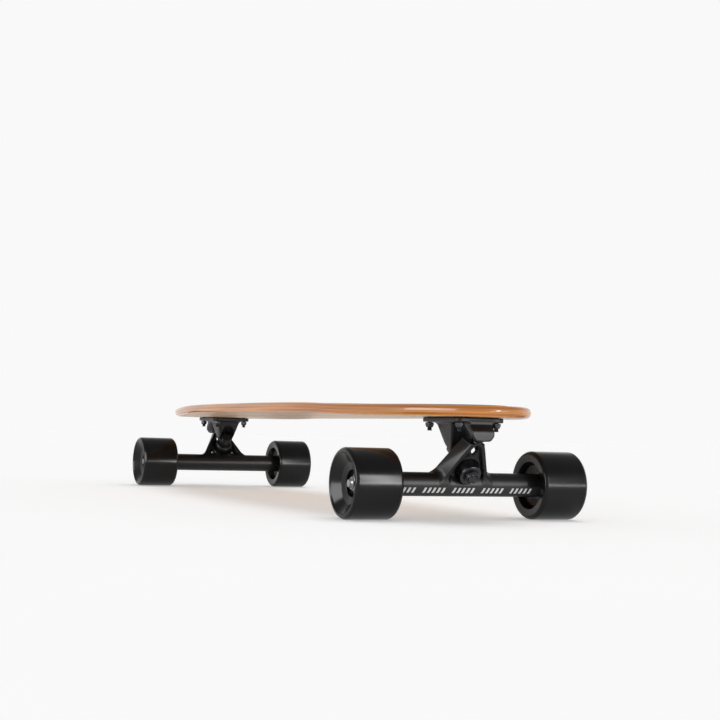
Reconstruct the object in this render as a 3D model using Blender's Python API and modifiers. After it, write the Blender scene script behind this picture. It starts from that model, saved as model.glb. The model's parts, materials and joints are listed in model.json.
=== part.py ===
"""A longboard-style skateboard: a laminated deck on two reverse-kingpin trucks and four wheels.

Units are metres, +Z up. The origin is on the ground, below the middle of the deck.
+X runs along the deck to the nose and +Y to the rider's left.
Each truck is drawn in its own frame: x outboard (towards the nearer end of the deck), y across,
z up from the ground, with the axle above the frame's origin. The rear truck is that frame
turned half round.
"""

import math

import bmesh
import bpy
from mathutils import Matrix, Vector

MM = 0.001
GAP = 0.3 * MM

# Wheels and axles: the driving sizes of the running gear
WHEEL_DIAMETER = 70 * MM
WHEEL_WIDTH = 51 * MM
WHEEL_CENTRE_Y = 104.5 * MM
WHEELBASE = 745 * MM
HANGER_WIDTH = 180 * MM
HANGER_TUBE_RADIUS = 12 * MM
AXLE_RADIUS = 4 * MM
AXLE_LENGTH = 246 * MM
AXLE_HEIGHT = WHEEL_DIAMETER / 2
BEARING_OUTER_RADIUS = 11 * MM
BEARING_WIDTH = 7 * MM
BEARING_BORE_RADIUS = 4.2 * MM
BEARING_START_Y = HANGER_WIDTH / 2 + 1 * MM
BEARING_SPACER_LENGTH = 10 * MM
AXLE_NUT_WIDTH = 13 * MM
AXLE_NUT_HEIGHT = 5 * MM

# Deck
DECK_LENGTH = 904 * MM
DECK_WIDTH = 234 * MM
DECK_THICKNESS = 11 * MM
DECK_UNDERSIDE = 102.5 * MM
DECK_EDGE_ROUND = 4.5 * MM
DECK_CONCAVE = 3.5 * MM
DECK_FLAT_HALF_WIDTH = 45 * MM
CONCAVE_FADE_START = 190 * MM
CONCAVE_FADE_END = 345 * MM
OUTLINE_POWER_LENGTH = 2.5
OUTLINE_POWER_WIDTH = 2.2
DECK_RINGS = 5
DECK_SEGMENTS = 40
GRIP_THICKNESS = 0.6 * MM
GRIP_INSET = 22 * MM

# Baseplate and its fasteners
FLANGE_THICKNESS = 5 * MM
FLANGE_LENGTH = 78 * MM
FLANGE_WIDTH = 55 * MM
FLANGE_OFFSET = 2 * MM
FLANGE_CORNER = 7 * MM
BOLT_SPACING_X = 64 * MM
BOLT_SPACING_Y = 41.3 * MM
BOLT_RADIUS = 2.4 * MM
BOLT_HOLE_RADIUS = 2.8 * MM
BOLT_HEAD_RADIUS = 4.6 * MM
BOLT_HEAD_HEIGHT = 2.8 * MM
BOLT_LENGTH = 25 * MM
BOLT_NUT_WIDTH = 8 * MM
BOLT_NUT_HEIGHT = 5 * MM
FLANGE_TOP = DECK_UNDERSIDE - GAP
FLANGE_BOTTOM = FLANGE_TOP - FLANGE_THICKNESS

# Steering: the hanger turns about the line from the bushings' centre to the pivot
KINGPIN_TILT = math.radians(38)
STEERING_ANGLE = math.radians(45)
SEAT_CENTRE = Vector((9.1 * MM, 0, 54.05 * MM))
PIVOT_DISTANCE = 39 * MM
PIVOT_BALL_RADIUS = 4.6 * MM
PIVOT_CUP_TILT = math.radians(68)
PIVOT_CUP_RADIUS = 6 * MM
PIVOT_CUP_BORE = 4.95 * MM
PIVOT_CUP_DEPTH = 5.8 * MM
PIVOT_CUP_LIP = 1.6 * MM
KINGPIN_RADIUS = 4.75 * MM
KINGPIN_HOLE_RADIUS = 5.1 * MM
YOKE_HOLE_RADIUS = 6.8 * MM
YOKE_HALF_THICKNESS = 2.8 * MM
BUSHING_RADIUS = 11.8 * MM
BUSHING_LENGTH = 10.9 * MM
WASHER_THICKNESS = 2 * MM
WASHER_RADIUS = 11.3 * MM
KINGPIN_NUT_WIDTH = 14.3 * MM
KINGPIN_NUT_HEIGHT = 4.4 * MM
KINGPIN_HEAD_HEIGHT = 5.5 * MM
KINGPIN_THREAD_PAST_NUT = 0.5 * MM

# The leg that carries the kingpin, and the pivot housing under the flange's outboard end
LEG_TOP_X = (-24 * MM, 13 * MM)
LEG_TOP_HALF_WIDTH = 17.5 * MM
LEG_DEPTH = 9.5 * MM
LEG_BOSS_RADIUS = 8.9 * MM
HEAD_POCKET_RADIUS = 10 * MM
HOUSING_BACK_X = 23 * MM
HOUSING_BROW_X = 39 * MM
HOUSING_FRONT_X = 46 * MM
HOUSING_HALF_WIDTH = 12.5 * MM
HOUSING_CHIN_HALF_WIDTH = 7 * MM
HOUSING_BROW_Z = 88.5 * MM
HOUSING_CHEEK_Z = 83 * MM
HOUSING_FLOOR_Z = 77.4 * MM
HOUSING_MOUTH_RADIUS = 8 * MM

# The hanger's A-shaped yoke, as points (across the board, up its web, along the kingpin)
ARM_FOOT_BACK = ((24 * MM, -13 * MM, -6 * MM), (31 * MM, -13 * MM, -6 * MM))
ARM_FOOT_FRONT = ((23 * MM, -15 * MM, 10.5 * MM), (27.5 * MM, -15 * MM, 10.5 * MM))
ARM_CROWN_BACK = ((3 * MM, 27 * MM, -12 * MM), (8 * MM, 27 * MM, -12 * MM))
ARM_CROWN_FRONT = ((3 * MM, 33 * MM, 7.5 * MM), (7.5 * MM, 33 * MM, 7.5 * MM))
CROWN_FRONT_FOOT = (5 * MM, 29.3 * MM, 6 * MM)
WEB_FOOT_HALF_WIDTH = 27 * MM
WEB_FOOT_UP = -15 * MM
WEB_TOP_HALF_WIDTH = 5.5 * MM
WEB_TOP_UP = 32 * MM
WEB_TOP_ALONG = (1.5 * MM, 6 * MM)
WINDOW_HEIGHT = 69.8 * MM
WINDOW_HALF_WIDTH = 3.9 * MM
WINDOW_HALF_HEIGHT = 5.4 * MM
LIGHTENING_HOLE_ACROSS = 15.5 * MM
LIGHTENING_HOLE_HEIGHT = 49.6 * MM
LIGHTENING_HOLE_RADIUS = 1.7 * MM
YOKE_RING_RADIUS = 14 * MM
YOKE_RING_HALF_LENGTH = 5 * MM
SEAT_CLEARANCE = 0.5 * MM
STEM_FOOT = (0, 31 * MM, 3.4 * MM)
STEM_FOOT_RADIUS = 4.2 * MM
STEM_NECK_RADIUS = 3.4 * MM
SHOULDER_RADIUS = 6 * MM
SHOULDER_PROUD = 0.7 * MM

# The wheel's profile, from the outer lip to the bearing seats
WHEEL_LIP_RADIUS = 31.5 * MM
WHEEL_SHOULDER_RADIUS = 34 * MM
WHEEL_SHOULDER_DEPTH = 1.2 * MM
WHEEL_TREAD_SETBACK = 3.8 * MM
WHEEL_INNER_DISH_RADIUS = 24.5 * MM
WHEEL_OUTER_DISH_RADIUS = 28.5 * MM
WHEEL_OUTER_DISH_DEPTH = 1 * MM
HUB_FACE_RADIUS = 14 * MM
HUB_BORE_RADIUS = 9 * MM
BEARING_SEAT_GAP = 0.15 * MM

KINGPIN_AXIS = Vector((math.cos(KINGPIN_TILT), 0, -math.sin(KINGPIN_TILT)))
YOKE_UP = Vector((math.sin(KINGPIN_TILT), 0, math.cos(KINGPIN_TILT)))
STEERING_AXIS = Vector((math.cos(STEERING_ANGLE), 0, math.sin(STEERING_ANGLE)))
PIVOT_CENTRE = SEAT_CENTRE + STEERING_AXIS * PIVOT_DISTANCE
PIVOT_CUP_AXIS = Vector((math.cos(PIVOT_CUP_TILT), 0, math.sin(PIVOT_CUP_TILT)))
AXLE_CENTRE = Vector((0, 0, AXLE_HEIGHT))
ACROSS = Vector((0, 1, 0))

# Stations along the kingpin, measured outboard from the middle of the hanger's yoke
BUSHING_START = YOKE_HALF_THICKNESS + GAP
WASHER_START = BUSHING_START + BUSHING_LENGTH + GAP
NUT_START = WASHER_START + WASHER_THICKNESS + GAP
LEG_FACE = -(WASHER_START + WASHER_THICKNESS + GAP)
LEG_BACK = LEG_FACE - LEG_DEPTH
KINGPIN_END = NUT_START + KINGPIN_NUT_HEIGHT + KINGPIN_THREAD_PAST_NUT

TRUCKS = {"front": (WHEELBASE / 2, 0.0), "rear": (-WHEELBASE / 2, math.pi)}

MATERIALS = {
    "varnished_ply": ((0.55, 0.28, 0.11), 0.3, 0.0),
    "grip": ((0.03, 0.03, 0.032), 0.95, 0.0),
    "black_casting": ((0.022, 0.022, 0.024), 0.45, 0.6),
    "black_steel": ((0.05, 0.05, 0.055), 0.35, 0.9),
    "bright_steel": ((0.55, 0.55, 0.56), 0.25, 1.0),
    "black_urethane": ((0.02, 0.02, 0.022), 0.35, 0.0),
    "bushing_urethane": ((0.03, 0.03, 0.034), 0.4, 0.0),
}


def clear_scene():
    for item in list(bpy.data.objects):
        bpy.data.objects.remove(item, do_unlink=True)


def make_collection(name):
    collection = bpy.data.collections.new(name)
    bpy.context.scene.collection.children.link(collection)
    return collection


def make_material(name, settings):
    colour, roughness, metallic = settings
    material = bpy.data.materials.new(name)
    material.use_nodes = True
    shader = material.node_tree.nodes["Principled BSDF"]
    shader.inputs["Base Color"].default_value = (*colour, 1)
    shader.inputs["Roughness"].default_value = roughness
    shader.inputs["Metallic"].default_value = metallic
    return material


def axis_matrix(origin, direction):
    """Turns local +Z onto direction and moves the local origin to origin."""
    turn = Vector((0, 0, 1)).rotation_difference(direction.normalized())
    return Matrix.Translation(origin) @ turn.to_matrix().to_4x4()


def helper(name, mesh, matrix=None):
    """An object that a Boolean reads: wire only, never part of the model."""
    item = bpy.data.objects.new(name, mesh)
    HELPERS.objects.link(item)
    item.hide_render = True
    item.display_type = "WIRE"
    if matrix is not None:
        item.matrix_world = matrix
    return item


def baked(item):
    """The evaluated mesh of an object in world space; the object itself is removed."""
    bpy.context.view_layer.update()
    evaluated = item.evaluated_get(bpy.context.evaluated_depsgraph_get())
    mesh = bpy.data.meshes.new_from_object(evaluated)
    mesh.transform(item.matrix_world)
    bpy.data.objects.remove(item, do_unlink=True)
    return mesh


def bmesh_to_mesh(name, shape):
    bmesh.ops.recalc_face_normals(shape, faces=shape.faces)
    mesh = bpy.data.meshes.new(name)
    shape.to_mesh(mesh)
    shape.free()
    return mesh


def rod(name, radius, start, end, segments=24, end_radius=None):
    """A cylinder, or a cone, from one point to another."""
    shape = bmesh.new()
    span = end - start
    matrix = axis_matrix((start + end) / 2, span)
    bmesh.ops.create_cone(
        shape, cap_ends=True, segments=segments, radius1=radius,
        radius2=radius if end_radius is None else end_radius, depth=span.length, matrix=matrix,
    )
    return helper(name, bmesh_to_mesh(name, shape))


def ball(name, radius, centre):
    shape = bmesh.new()
    matrix = Matrix.Translation(centre)
    bmesh.ops.create_uvsphere(shape, u_segments=16, v_segments=10, radius=radius, matrix=matrix)
    return helper(name, bmesh_to_mesh(name, shape))


def hull(name, points):
    """The convex solid around a list of points, for tapered cast arms and bosses."""
    shape = bmesh.new()
    for point in points:
        shape.verts.new(point)
    bmesh.ops.convex_hull(shape, input=shape.verts)
    loose = [vert for vert in shape.verts if not vert.link_faces]
    bmesh.ops.delete(shape, geom=loose, context="VERTS")
    bmesh.ops.dissolve_limit(
        shape, angle_limit=math.radians(0.5), verts=shape.verts, edges=shape.edges
    )
    return helper(name, bmesh_to_mesh(name, shape))


def circle_points(centre, direction, radius, count=16):
    matrix = axis_matrix(centre, direction)
    angles = [2 * math.pi * step / count for step in range(count)]
    return [matrix @ Vector((radius * math.cos(a), radius * math.sin(a), 0)) for a in angles]


def lathe(name, profile, segments, closed):
    """A turned mesh about Z. The profile's (radius, height) points run down its outer side."""
    mesh = bpy.data.meshes.new(name)
    vertices = [(radius, 0, height) for radius, height in profile]
    edges = [(step, step + 1) for step in range(len(profile) - 1)]
    if closed:
        edges.append((len(profile) - 1, 0))
    mesh.from_pydata(vertices, edges, [])
    item = bpy.data.objects.new(name, mesh)
    HELPERS.objects.link(item)
    screw = item.modifiers.new("Turn", "SCREW")
    screw.axis = "Z"
    screw.steps = segments
    screw.render_steps = segments
    screw.use_merge_vertices = True
    screw.merge_threshold = 0.00001
    return baked(item)


def combine(name, base, joined=(), cut=()):
    """One mesh from a base solid, the solids joined to it and then those cut from it."""
    for operation, tools in (("UNION", joined), ("DIFFERENCE", cut)):
        for tool in tools:
            boolean = base.modifiers.new(tool.name, "BOOLEAN")
            boolean.operation = operation
            boolean.solver = "EXACT"
            boolean.object = tool
    mesh = baked(base)
    mesh.name = name
    for tool in (*joined, *cut):
        bpy.data.objects.remove(tool, do_unlink=True)
    return mesh


def hexagon_nut(name, width, height, bore_radius, chamfer=0.6 * MM):
    """A nut about Z from z = 0 up, its hexagon across the flats being its width."""
    corner = width / 2 / math.cos(math.pi / 6)
    shape = bmesh.new()
    rings = [(0, corner - chamfer), (chamfer, corner), (height - chamfer, corner)]
    rings.append((height, corner - chamfer))
    for level, radius in rings:
        for step in range(6):
            angle = math.pi / 3 * step
            shape.verts.new((radius * math.cos(angle), radius * math.sin(angle), level))
    bmesh.ops.convex_hull(shape, input=shape.verts)
    bmesh.ops.dissolve_limit(
        shape, angle_limit=math.radians(0.5), verts=shape.verts, edges=shape.edges
    )
    body = helper(name, bmesh_to_mesh(name, shape))
    bore = rod("bore", bore_radius, Vector((0, 0, -MM)), Vector((0, 0, height + MM)), 16)
    return combine(name, body, cut=[bore])


def place(name, mesh, material, collection, parent=None, matrix=None, smooth=True):
    """Adds a named sub-part to the model."""
    if smooth:
        mesh.shade_smooth()
        mesh.set_sharp_from_angle(angle=math.radians(32))
    item = bpy.data.objects.new(name, mesh)
    collection.objects.link(item)
    item.parent = parent
    if matrix is not None:
        item.matrix_local = matrix
    if not mesh.materials:
        mesh.materials.append(material)
    return item


def outline_point(angle, inset=0.0):
    """A point of the deck's outline, a superellipse, pulled in by inset on both axes."""
    along, across = math.cos(angle), math.sin(angle)
    x = (DECK_LENGTH / 2 - inset) * math.copysign(abs(along) ** (2 / OUTLINE_POWER_LENGTH), along)
    y = (DECK_WIDTH / 2 - inset) * math.copysign(abs(across) ** (2 / OUTLINE_POWER_WIDTH), across)
    return x, y


def concave_height(x, y):
    """How far the deck's surface stands above its flat middle strip."""
    beyond = max(0.0, abs(y) - DECK_FLAT_HALF_WIDTH)
    rise = (beyond / (DECK_WIDTH / 2 - DECK_FLAT_HALF_WIDTH)) ** 1.5
    fade = (abs(x) - CONCAVE_FADE_START) / (CONCAVE_FADE_END - CONCAVE_FADE_START)
    fade = min(1.0, max(0.0, fade))
    return DECK_CONCAVE * rise * (1 - fade * fade * (3 - 2 * fade))


def deck_sheet(name, inset, height):
    """The deck's outline filled with rings of faces that follow its concave."""
    shape = bmesh.new()
    rings = []
    for ring in range(1, DECK_RINGS + 1):
        scale = ring / DECK_RINGS
        verts = []
        for step in range(DECK_SEGMENTS):
            x, y = outline_point(2 * math.pi * step / DECK_SEGMENTS, inset)
            x, y = x * scale, y * scale
            verts.append(shape.verts.new((x, y, height + concave_height(x, y))))
        rings.append(verts)
    shape.faces.new(rings[0])
    for inner, outer in zip(rings, rings[1:]):
        for step in range(DECK_SEGMENTS):
            after = (step + 1) % DECK_SEGMENTS
            shape.faces.new((inner[step], outer[step], outer[after], inner[after]))
    return helper(name, bmesh_to_mesh(name, shape))


def solidify(item, thickness):
    modifier = item.modifiers.new("Thickness", "SOLIDIFY")
    modifier.thickness = thickness
    modifier.offset = 0


def bolt_centres():
    """The eight deck bolts, as (name, x, y) in world coordinates."""
    centres = []
    for truck, (x, turn) in TRUCKS.items():
        number = 0
        for side_x in (1, -1):
            for side_y in (1, -1):
                number += 1
                local_x = FLANGE_OFFSET + side_x * BOLT_SPACING_X / 2
                local_y = side_y * BOLT_SPACING_Y / 2
                place_x = x + math.cos(turn) * local_x
                place_y = math.cos(turn) * local_y
                centres.append((f"{truck}_{number}", place_x, place_y))
    return centres


def deck_mesh():
    sheet = deck_sheet("deck", 0, DECK_UNDERSIDE + DECK_THICKNESS / 2)
    solidify(sheet, DECK_THICKNESS)
    bevel = sheet.modifiers.new("Rounded edge", "BEVEL")
    bevel.width = DECK_EDGE_ROUND
    bevel.segments = 2
    bevel.limit_method = "ANGLE"
    bevel.angle_limit = math.radians(60)
    holes = []
    top = DECK_UNDERSIDE + DECK_THICKNESS
    for name, x, y in bolt_centres():
        low = Vector((x, y, DECK_UNDERSIDE - 2 * MM))
        high = Vector((x, y, top + 2 * MM))
        seat = Vector((x, y, top - BOLT_HEAD_HEIGHT - GAP))
        rim = Vector((x, y, top + 0.2 * MM))
        holes.append(rod(f"hole_{name}", BOLT_HOLE_RADIUS, low, high, 12))
        widest = BOLT_HEAD_RADIUS + GAP + 0.2 * MM
        holes.append(rod(f"sink_{name}", BOLT_HOLE_RADIUS, seat, rim, 12, widest))
    return combine("deck", sheet, cut=holes)


def grip_mesh():
    height = DECK_UNDERSIDE + DECK_THICKNESS + GAP + GRIP_THICKNESS / 2
    sheet = deck_sheet("grip_tape", GRIP_INSET, height)
    solidify(sheet, GRIP_THICKNESS)
    holes = []
    for name, x, y in bolt_centres():
        low = Vector((x, y, height - 3 * MM))
        high = Vector((x, y, height + 3 * MM))
        holes.append(rod(f"tape_{name}", BOLT_HEAD_RADIUS + 0.6 * MM, low, high, 12))
    return combine("grip_tape", sheet, cut=holes)


def bolt_mesh():
    """A countersunk bolt hanging down from its head's flat top at z = 0."""
    tip = 0.6 * MM
    profile = [
        (0, 0), (BOLT_HEAD_RADIUS, 0), (BOLT_RADIUS, -BOLT_HEAD_HEIGHT),
        (BOLT_RADIUS, tip - BOLT_LENGTH), (BOLT_RADIUS - tip, -BOLT_LENGTH), (0, -BOLT_LENGTH),
    ]
    body = helper("bolt", lathe("bolt", profile, 12, closed=False))
    socket = rod("socket", 1.6 * MM, Vector((0, 0, -2 * MM)), Vector((0, 0, MM)), 6)
    return combine("bolt", body, cut=[socket])


def flange_helper():
    """The baseplate's flange: a flat rectangle with round corners."""
    points = []
    half_x = FLANGE_LENGTH / 2 - FLANGE_CORNER
    half_y = FLANGE_WIDTH / 2 - FLANGE_CORNER
    for corner, (side_x, side_y) in enumerate(((1, 1), (-1, 1), (-1, -1), (1, -1))):
        for step in range(5):
            angle = math.pi / 2 * (corner + step / 4)
            x = FLANGE_OFFSET + side_x * half_x + FLANGE_CORNER * math.cos(angle)
            y = side_y * half_y + FLANGE_CORNER * math.sin(angle)
            points.append((x, y, FLANGE_TOP))
            points.append((x, y, FLANGE_BOTTOM))
    return hull("flange", [Vector(point) for point in points])


def along_kingpin(distance):
    return SEAT_CENTRE + KINGPIN_AXIS * distance


def mirrored(*corners):
    """The corners (x, y, z) with y on both sides."""
    return [Vector((x, side * y, z)) for x, y, z in corners for side in (-1, 1)]


def leg_helper():
    """The leg that carries the kingpin, tapering from the flange to a round boss."""
    top = FLANGE_BOTTOM + MM
    points = mirrored(*((x, LEG_TOP_HALF_WIDTH, top) for x in LEG_TOP_X))
    points += circle_points(along_kingpin(LEG_FACE), KINGPIN_AXIS, LEG_BOSS_RADIUS)
    points += circle_points(along_kingpin(LEG_BACK), KINGPIN_AXIS, LEG_BOSS_RADIUS)
    return hull("leg", points)


def pivot_housing_helper():
    """The boss under the flange's outboard end that holds the pivot cup."""
    top = FLANGE_BOTTOM + MM
    points = mirrored(
        (HOUSING_BACK_X, HOUSING_HALF_WIDTH, top),
        (HOUSING_BROW_X, HOUSING_HALF_WIDTH, top),
        (HOUSING_FRONT_X, HOUSING_HALF_WIDTH, HOUSING_BROW_Z),
        (HOUSING_FRONT_X, HOUSING_HALF_WIDTH, HOUSING_CHEEK_Z),
        (HOUSING_FRONT_X, HOUSING_CHIN_HALF_WIDTH, HOUSING_FLOOR_Z),
    )
    mouth = PIVOT_CENTRE - PIVOT_CUP_AXIS * 0.6 * MM
    points += circle_points(mouth, PIVOT_CUP_AXIS, HOUSING_MOUTH_RADIUS)
    solid = hull("pivot_housing", points)
    floor = Vector((HOUSING_FRONT_X, 0, HOUSING_FLOOR_Z))
    below = rod("housing_floor", 40 * MM, floor - Vector((0, 0, 20 * MM)), floor, 8)
    mesh = combine("pivot_housing", solid, cut=[below])
    return helper("pivot_housing", mesh)


def baseplate_mesh():
    holes = []
    for side_x in (1, -1):
        for side_y in (1, -1):
            x = FLANGE_OFFSET + side_x * BOLT_SPACING_X / 2
            y = side_y * BOLT_SPACING_Y / 2
            low = Vector((x, y, FLANGE_BOTTOM - MM))
            high = Vector((x, y, FLANGE_TOP + MM))
            holes.append(rod("bolt_hole", BOLT_HOLE_RADIUS, low, high, 12))
    shank = (along_kingpin(LEG_BACK - 20 * MM), along_kingpin(5 * MM))
    holes.append(rod("kingpin_hole", KINGPIN_HOLE_RADIUS, *shank, 16))
    head_room = (along_kingpin(LEG_BACK - 30 * MM), along_kingpin(LEG_BACK))
    holes.append(rod("head_pocket", HEAD_POCKET_RADIUS, *head_room, 16))
    cup_top = PIVOT_CENTRE + PIVOT_CUP_AXIS * (PIVOT_CUP_DEPTH + GAP)
    cup_mouth = PIVOT_CENTRE - PIVOT_CUP_AXIS * 15 * MM
    holes.append(rod("cup_seat", PIVOT_CUP_RADIUS + GAP, cup_mouth, cup_top, 20))
    joined = [leg_helper(), pivot_housing_helper()]
    return combine("baseplate", flange_helper(), joined=joined, cut=holes)


def pivot_cup_mesh():
    """A urethane cup: a plain cylinder outside, a round socket for the pivot ball inside."""
    profile = [
        (0, PIVOT_CUP_DEPTH), (PIVOT_CUP_RADIUS, PIVOT_CUP_DEPTH),
        (PIVOT_CUP_RADIUS, -PIVOT_CUP_LIP), (PIVOT_CUP_BORE, -PIVOT_CUP_LIP),
    ]
    for step in range(5):
        angle = math.pi / 2 * step / 4
        profile.append((PIVOT_CUP_BORE * math.cos(angle), PIVOT_CUP_BORE * math.sin(angle)))
    profile[-1] = (0, PIVOT_CUP_BORE)
    mesh = lathe("pivot_cup", profile, 16, closed=False)
    mesh.transform(axis_matrix(PIVOT_CENTRE, PIVOT_CUP_AXIS))
    return mesh


def kingpin_mesh():
    start = along_kingpin(LEG_BACK - GAP)
    head_end = along_kingpin(LEG_BACK - GAP - KINGPIN_HEAD_HEIGHT)
    shank = rod("kingpin", KINGPIN_RADIUS, head_end, along_kingpin(KINGPIN_END), 16)
    head = rod("head", KINGPIN_NUT_WIDTH / 2 / math.cos(math.pi / 6), head_end, start, 6)
    return combine("kingpin", shank, joined=[head])


def on_kingpin(mesh, distance, direction=1):
    """Moves a mesh turned about Z onto the kingpin, its z = 0 at a station along it."""
    mesh.transform(axis_matrix(along_kingpin(distance), KINGPIN_AXIS * direction))
    return mesh


def ring_mesh(name, outline, bore_radius, segments=20):
    """A turned ring with a plain bore. The outline runs from its high end to its low end."""
    high, low = outline[0][1], outline[-1][1]
    profile = [*outline, (bore_radius, low), (bore_radius, high)]
    return lathe(name, profile, segments, closed=True)


def bushing_mesh(name, far_radius):
    """A bushing from z = 0 at the yoke up to its washer, waisted like a barrel or a cone."""
    edge = 1 * MM
    outline = [
        (far_radius - edge, BUSHING_LENGTH), (far_radius, BUSHING_LENGTH - edge),
        (BUSHING_RADIUS, edge), (BUSHING_RADIUS - edge, 0),
    ]
    return ring_mesh(name, outline, KINGPIN_HOLE_RADIUS)


def washer_mesh():
    """A cup washer: a disc with its rim rolled towards the bushing, which is at z = 0."""
    outline = [
        (WASHER_RADIUS - 0.8 * MM, WASHER_THICKNESS), (WASHER_RADIUS, WASHER_THICKNESS - 0.8 * MM),
        (WASHER_RADIUS, 0),
    ]
    return ring_mesh("washer", outline, KINGPIN_HOLE_RADIUS)


def yoke_point(across, up, along):
    """A point of the hanger's yoke: across the board, up its web and along the kingpin."""
    return SEAT_CENTRE + ACROSS * across + YOKE_UP * up + KINGPIN_AXIS * along


def hanger_arm(side):
    """One deep arm of the A-shaped yoke, from the tube up to the pivot's stem."""
    corners = [*ARM_FOOT_BACK, *ARM_FOOT_FRONT, *ARM_CROWN_BACK, *ARM_CROWN_FRONT]
    return hull("arm", [yoke_point(side * across, up, along) for across, up, along in corners])


def hanger_crown():
    """The block that closes the top of the A, above its window."""
    corners = [*ARM_CROWN_BACK, *ARM_CROWN_FRONT, CROWN_FRONT_FOOT]
    points = [yoke_point(side * across, up, along) for side in (-1, 1) for across, up, along in corners]
    return hull("crown", points)


def hanger_web():
    """The wall between the arms. It leans outboard as it rises, to meet the arms' front edges."""
    points = []
    for side in (-1, 1):
        for along in (-YOKE_HALF_THICKNESS, YOKE_HALF_THICKNESS):
            points.append(yoke_point(side * WEB_FOOT_HALF_WIDTH, WEB_FOOT_UP, along))
        for along in WEB_TOP_ALONG:
            points.append(yoke_point(side * WEB_TOP_HALF_WIDTH, WEB_TOP_UP, along))
    return hull("web", points)


def web_cuts():
    """The diamond window at the top of the web and the small round hole beside each foot."""
    reach = 14 * MM
    tips = ((WINDOW_HALF_WIDTH, 0), (-WINDOW_HALF_WIDTH, 0), (0, WINDOW_HALF_HEIGHT),
            (0, -WINDOW_HALF_HEIGHT))
    diamond = [
        Vector((along, across, WINDOW_HEIGHT + up)) for along in (0, 4 * reach) for across, up in tips
    ]
    cuts = [hull("window", diamond)]
    for side in (-1, 1):
        start = Vector((-reach, side * LIGHTENING_HOLE_ACROSS, LIGHTENING_HOLE_HEIGHT))
        end = start + Vector((3 * reach, 0, 0))
        cuts.append(rod("lightening_hole", LIGHTENING_HOLE_RADIUS, start, end, 10))
    return cuts


def cross_rod(name, radius, half_length, segments):
    """A rod across the board, centred on the axle."""
    reach = ACROSS * half_length
    return rod(name, radius, AXLE_CENTRE - reach, AXLE_CENTRE + reach, segments)


def hanger_mesh():
    half = HANGER_WIDTH / 2
    ring = rod("ring", YOKE_RING_RADIUS, along_kingpin(-YOKE_RING_HALF_LENGTH),
               along_kingpin(YOKE_RING_HALF_LENGTH), 24)
    stem_end = PIVOT_CENTRE - STEERING_AXIS * 3 * MM
    stem = rod("stem", STEM_FOOT_RADIUS, yoke_point(*STEM_FOOT), stem_end, 16, STEM_NECK_RADIUS)
    joined = [
        cross_rod("shoulders", SHOULDER_RADIUS, half + SHOULDER_PROUD, 16),
        hanger_arm(1), hanger_arm(-1), hanger_crown(), hanger_web(), ring, stem,
        ball("pivot", PIVOT_BALL_RADIUS, PIVOT_CENTRE),
    ]
    seat = BUSHING_RADIUS + SEAT_CLEARANCE
    room = 22 * MM
    cuts = [
        cross_rod("axle_bore", AXLE_RADIUS + 0.2 * MM, half + 5 * MM, 16),
        rod("kingpin_hole", YOKE_HOLE_RADIUS, along_kingpin(-room), along_kingpin(room), 16),
        rod("road_seat", seat, along_kingpin(YOKE_HALF_THICKNESS), along_kingpin(room), 24),
        rod("board_seat", seat, along_kingpin(-room), along_kingpin(-YOKE_HALF_THICKNESS), 24),
        *web_cuts(),
    ]
    return combine("hanger", cross_rod("hanger", HANGER_TUBE_RADIUS, half, 24),
                   joined=joined, cut=cuts)


def axle_mesh():
    half = AXLE_LENGTH / 2
    chamfer = 0.8 * MM
    profile = [
        (0, half), (AXLE_RADIUS - chamfer, half), (AXLE_RADIUS, half - chamfer),
        (AXLE_RADIUS, chamfer - half), (AXLE_RADIUS - chamfer, -half), (0, -half),
    ]
    mesh = lathe("axle", profile, 16, closed=False)
    mesh.transform(axis_matrix(AXLE_CENTRE, ACROSS))
    return mesh


def wheel_mesh():
    """A wheel about Z, its outer face up. The hub is moulded into the urethane."""
    half = WHEEL_WIDTH / 2
    tread = half - WHEEL_TREAD_SETBACK
    shoulder = half - WHEEL_SHOULDER_DEPTH
    seat = BEARING_OUTER_RADIUS + BEARING_SEAT_GAP
    inner_end = BEARING_START_Y - WHEEL_CENTRE_Y
    outer_end = inner_end + 2 * BEARING_WIDTH + BEARING_SPACER_LENGTH
    inner_stop = inner_end + BEARING_WIDTH + BEARING_SEAT_GAP
    outer_stop = outer_end - BEARING_WIDTH - BEARING_SEAT_GAP
    outside = [
        (WHEEL_LIP_RADIUS, half), (WHEEL_SHOULDER_RADIUS, shoulder), (WHEEL_DIAMETER / 2, tread),
        (WHEEL_DIAMETER / 2, -tread), (WHEEL_SHOULDER_RADIUS, -shoulder), (WHEEL_LIP_RADIUS, -half),
    ]
    inner_dish = [(WHEEL_INNER_DISH_RADIUS, -half), (HUB_FACE_RADIUS, inner_end)]
    bore = [
        (seat, inner_end), (seat, inner_stop), (HUB_BORE_RADIUS, inner_stop),
        (HUB_BORE_RADIUS, outer_stop), (seat, outer_stop), (seat, outer_end),
    ]
    outer_dish = [
        (HUB_FACE_RADIUS, outer_end), (WHEEL_OUTER_DISH_RADIUS, half - WHEEL_OUTER_DISH_DEPTH),
    ]
    return lathe("wheel", [*outside, *inner_dish, *bore, *outer_dish], 28, closed=True)


def bearing_mesh():
    """A sealed ball bearing about Z from z = 0 up."""
    outer, top = BEARING_OUTER_RADIUS, BEARING_WIDTH
    chamfer = 0.5 * MM
    outline = [(outer - chamfer, top), (outer, top - chamfer), (outer, chamfer), (outer - chamfer, 0)]
    return ring_mesh("bearing", outline, BEARING_BORE_RADIUS, 20)


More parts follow.
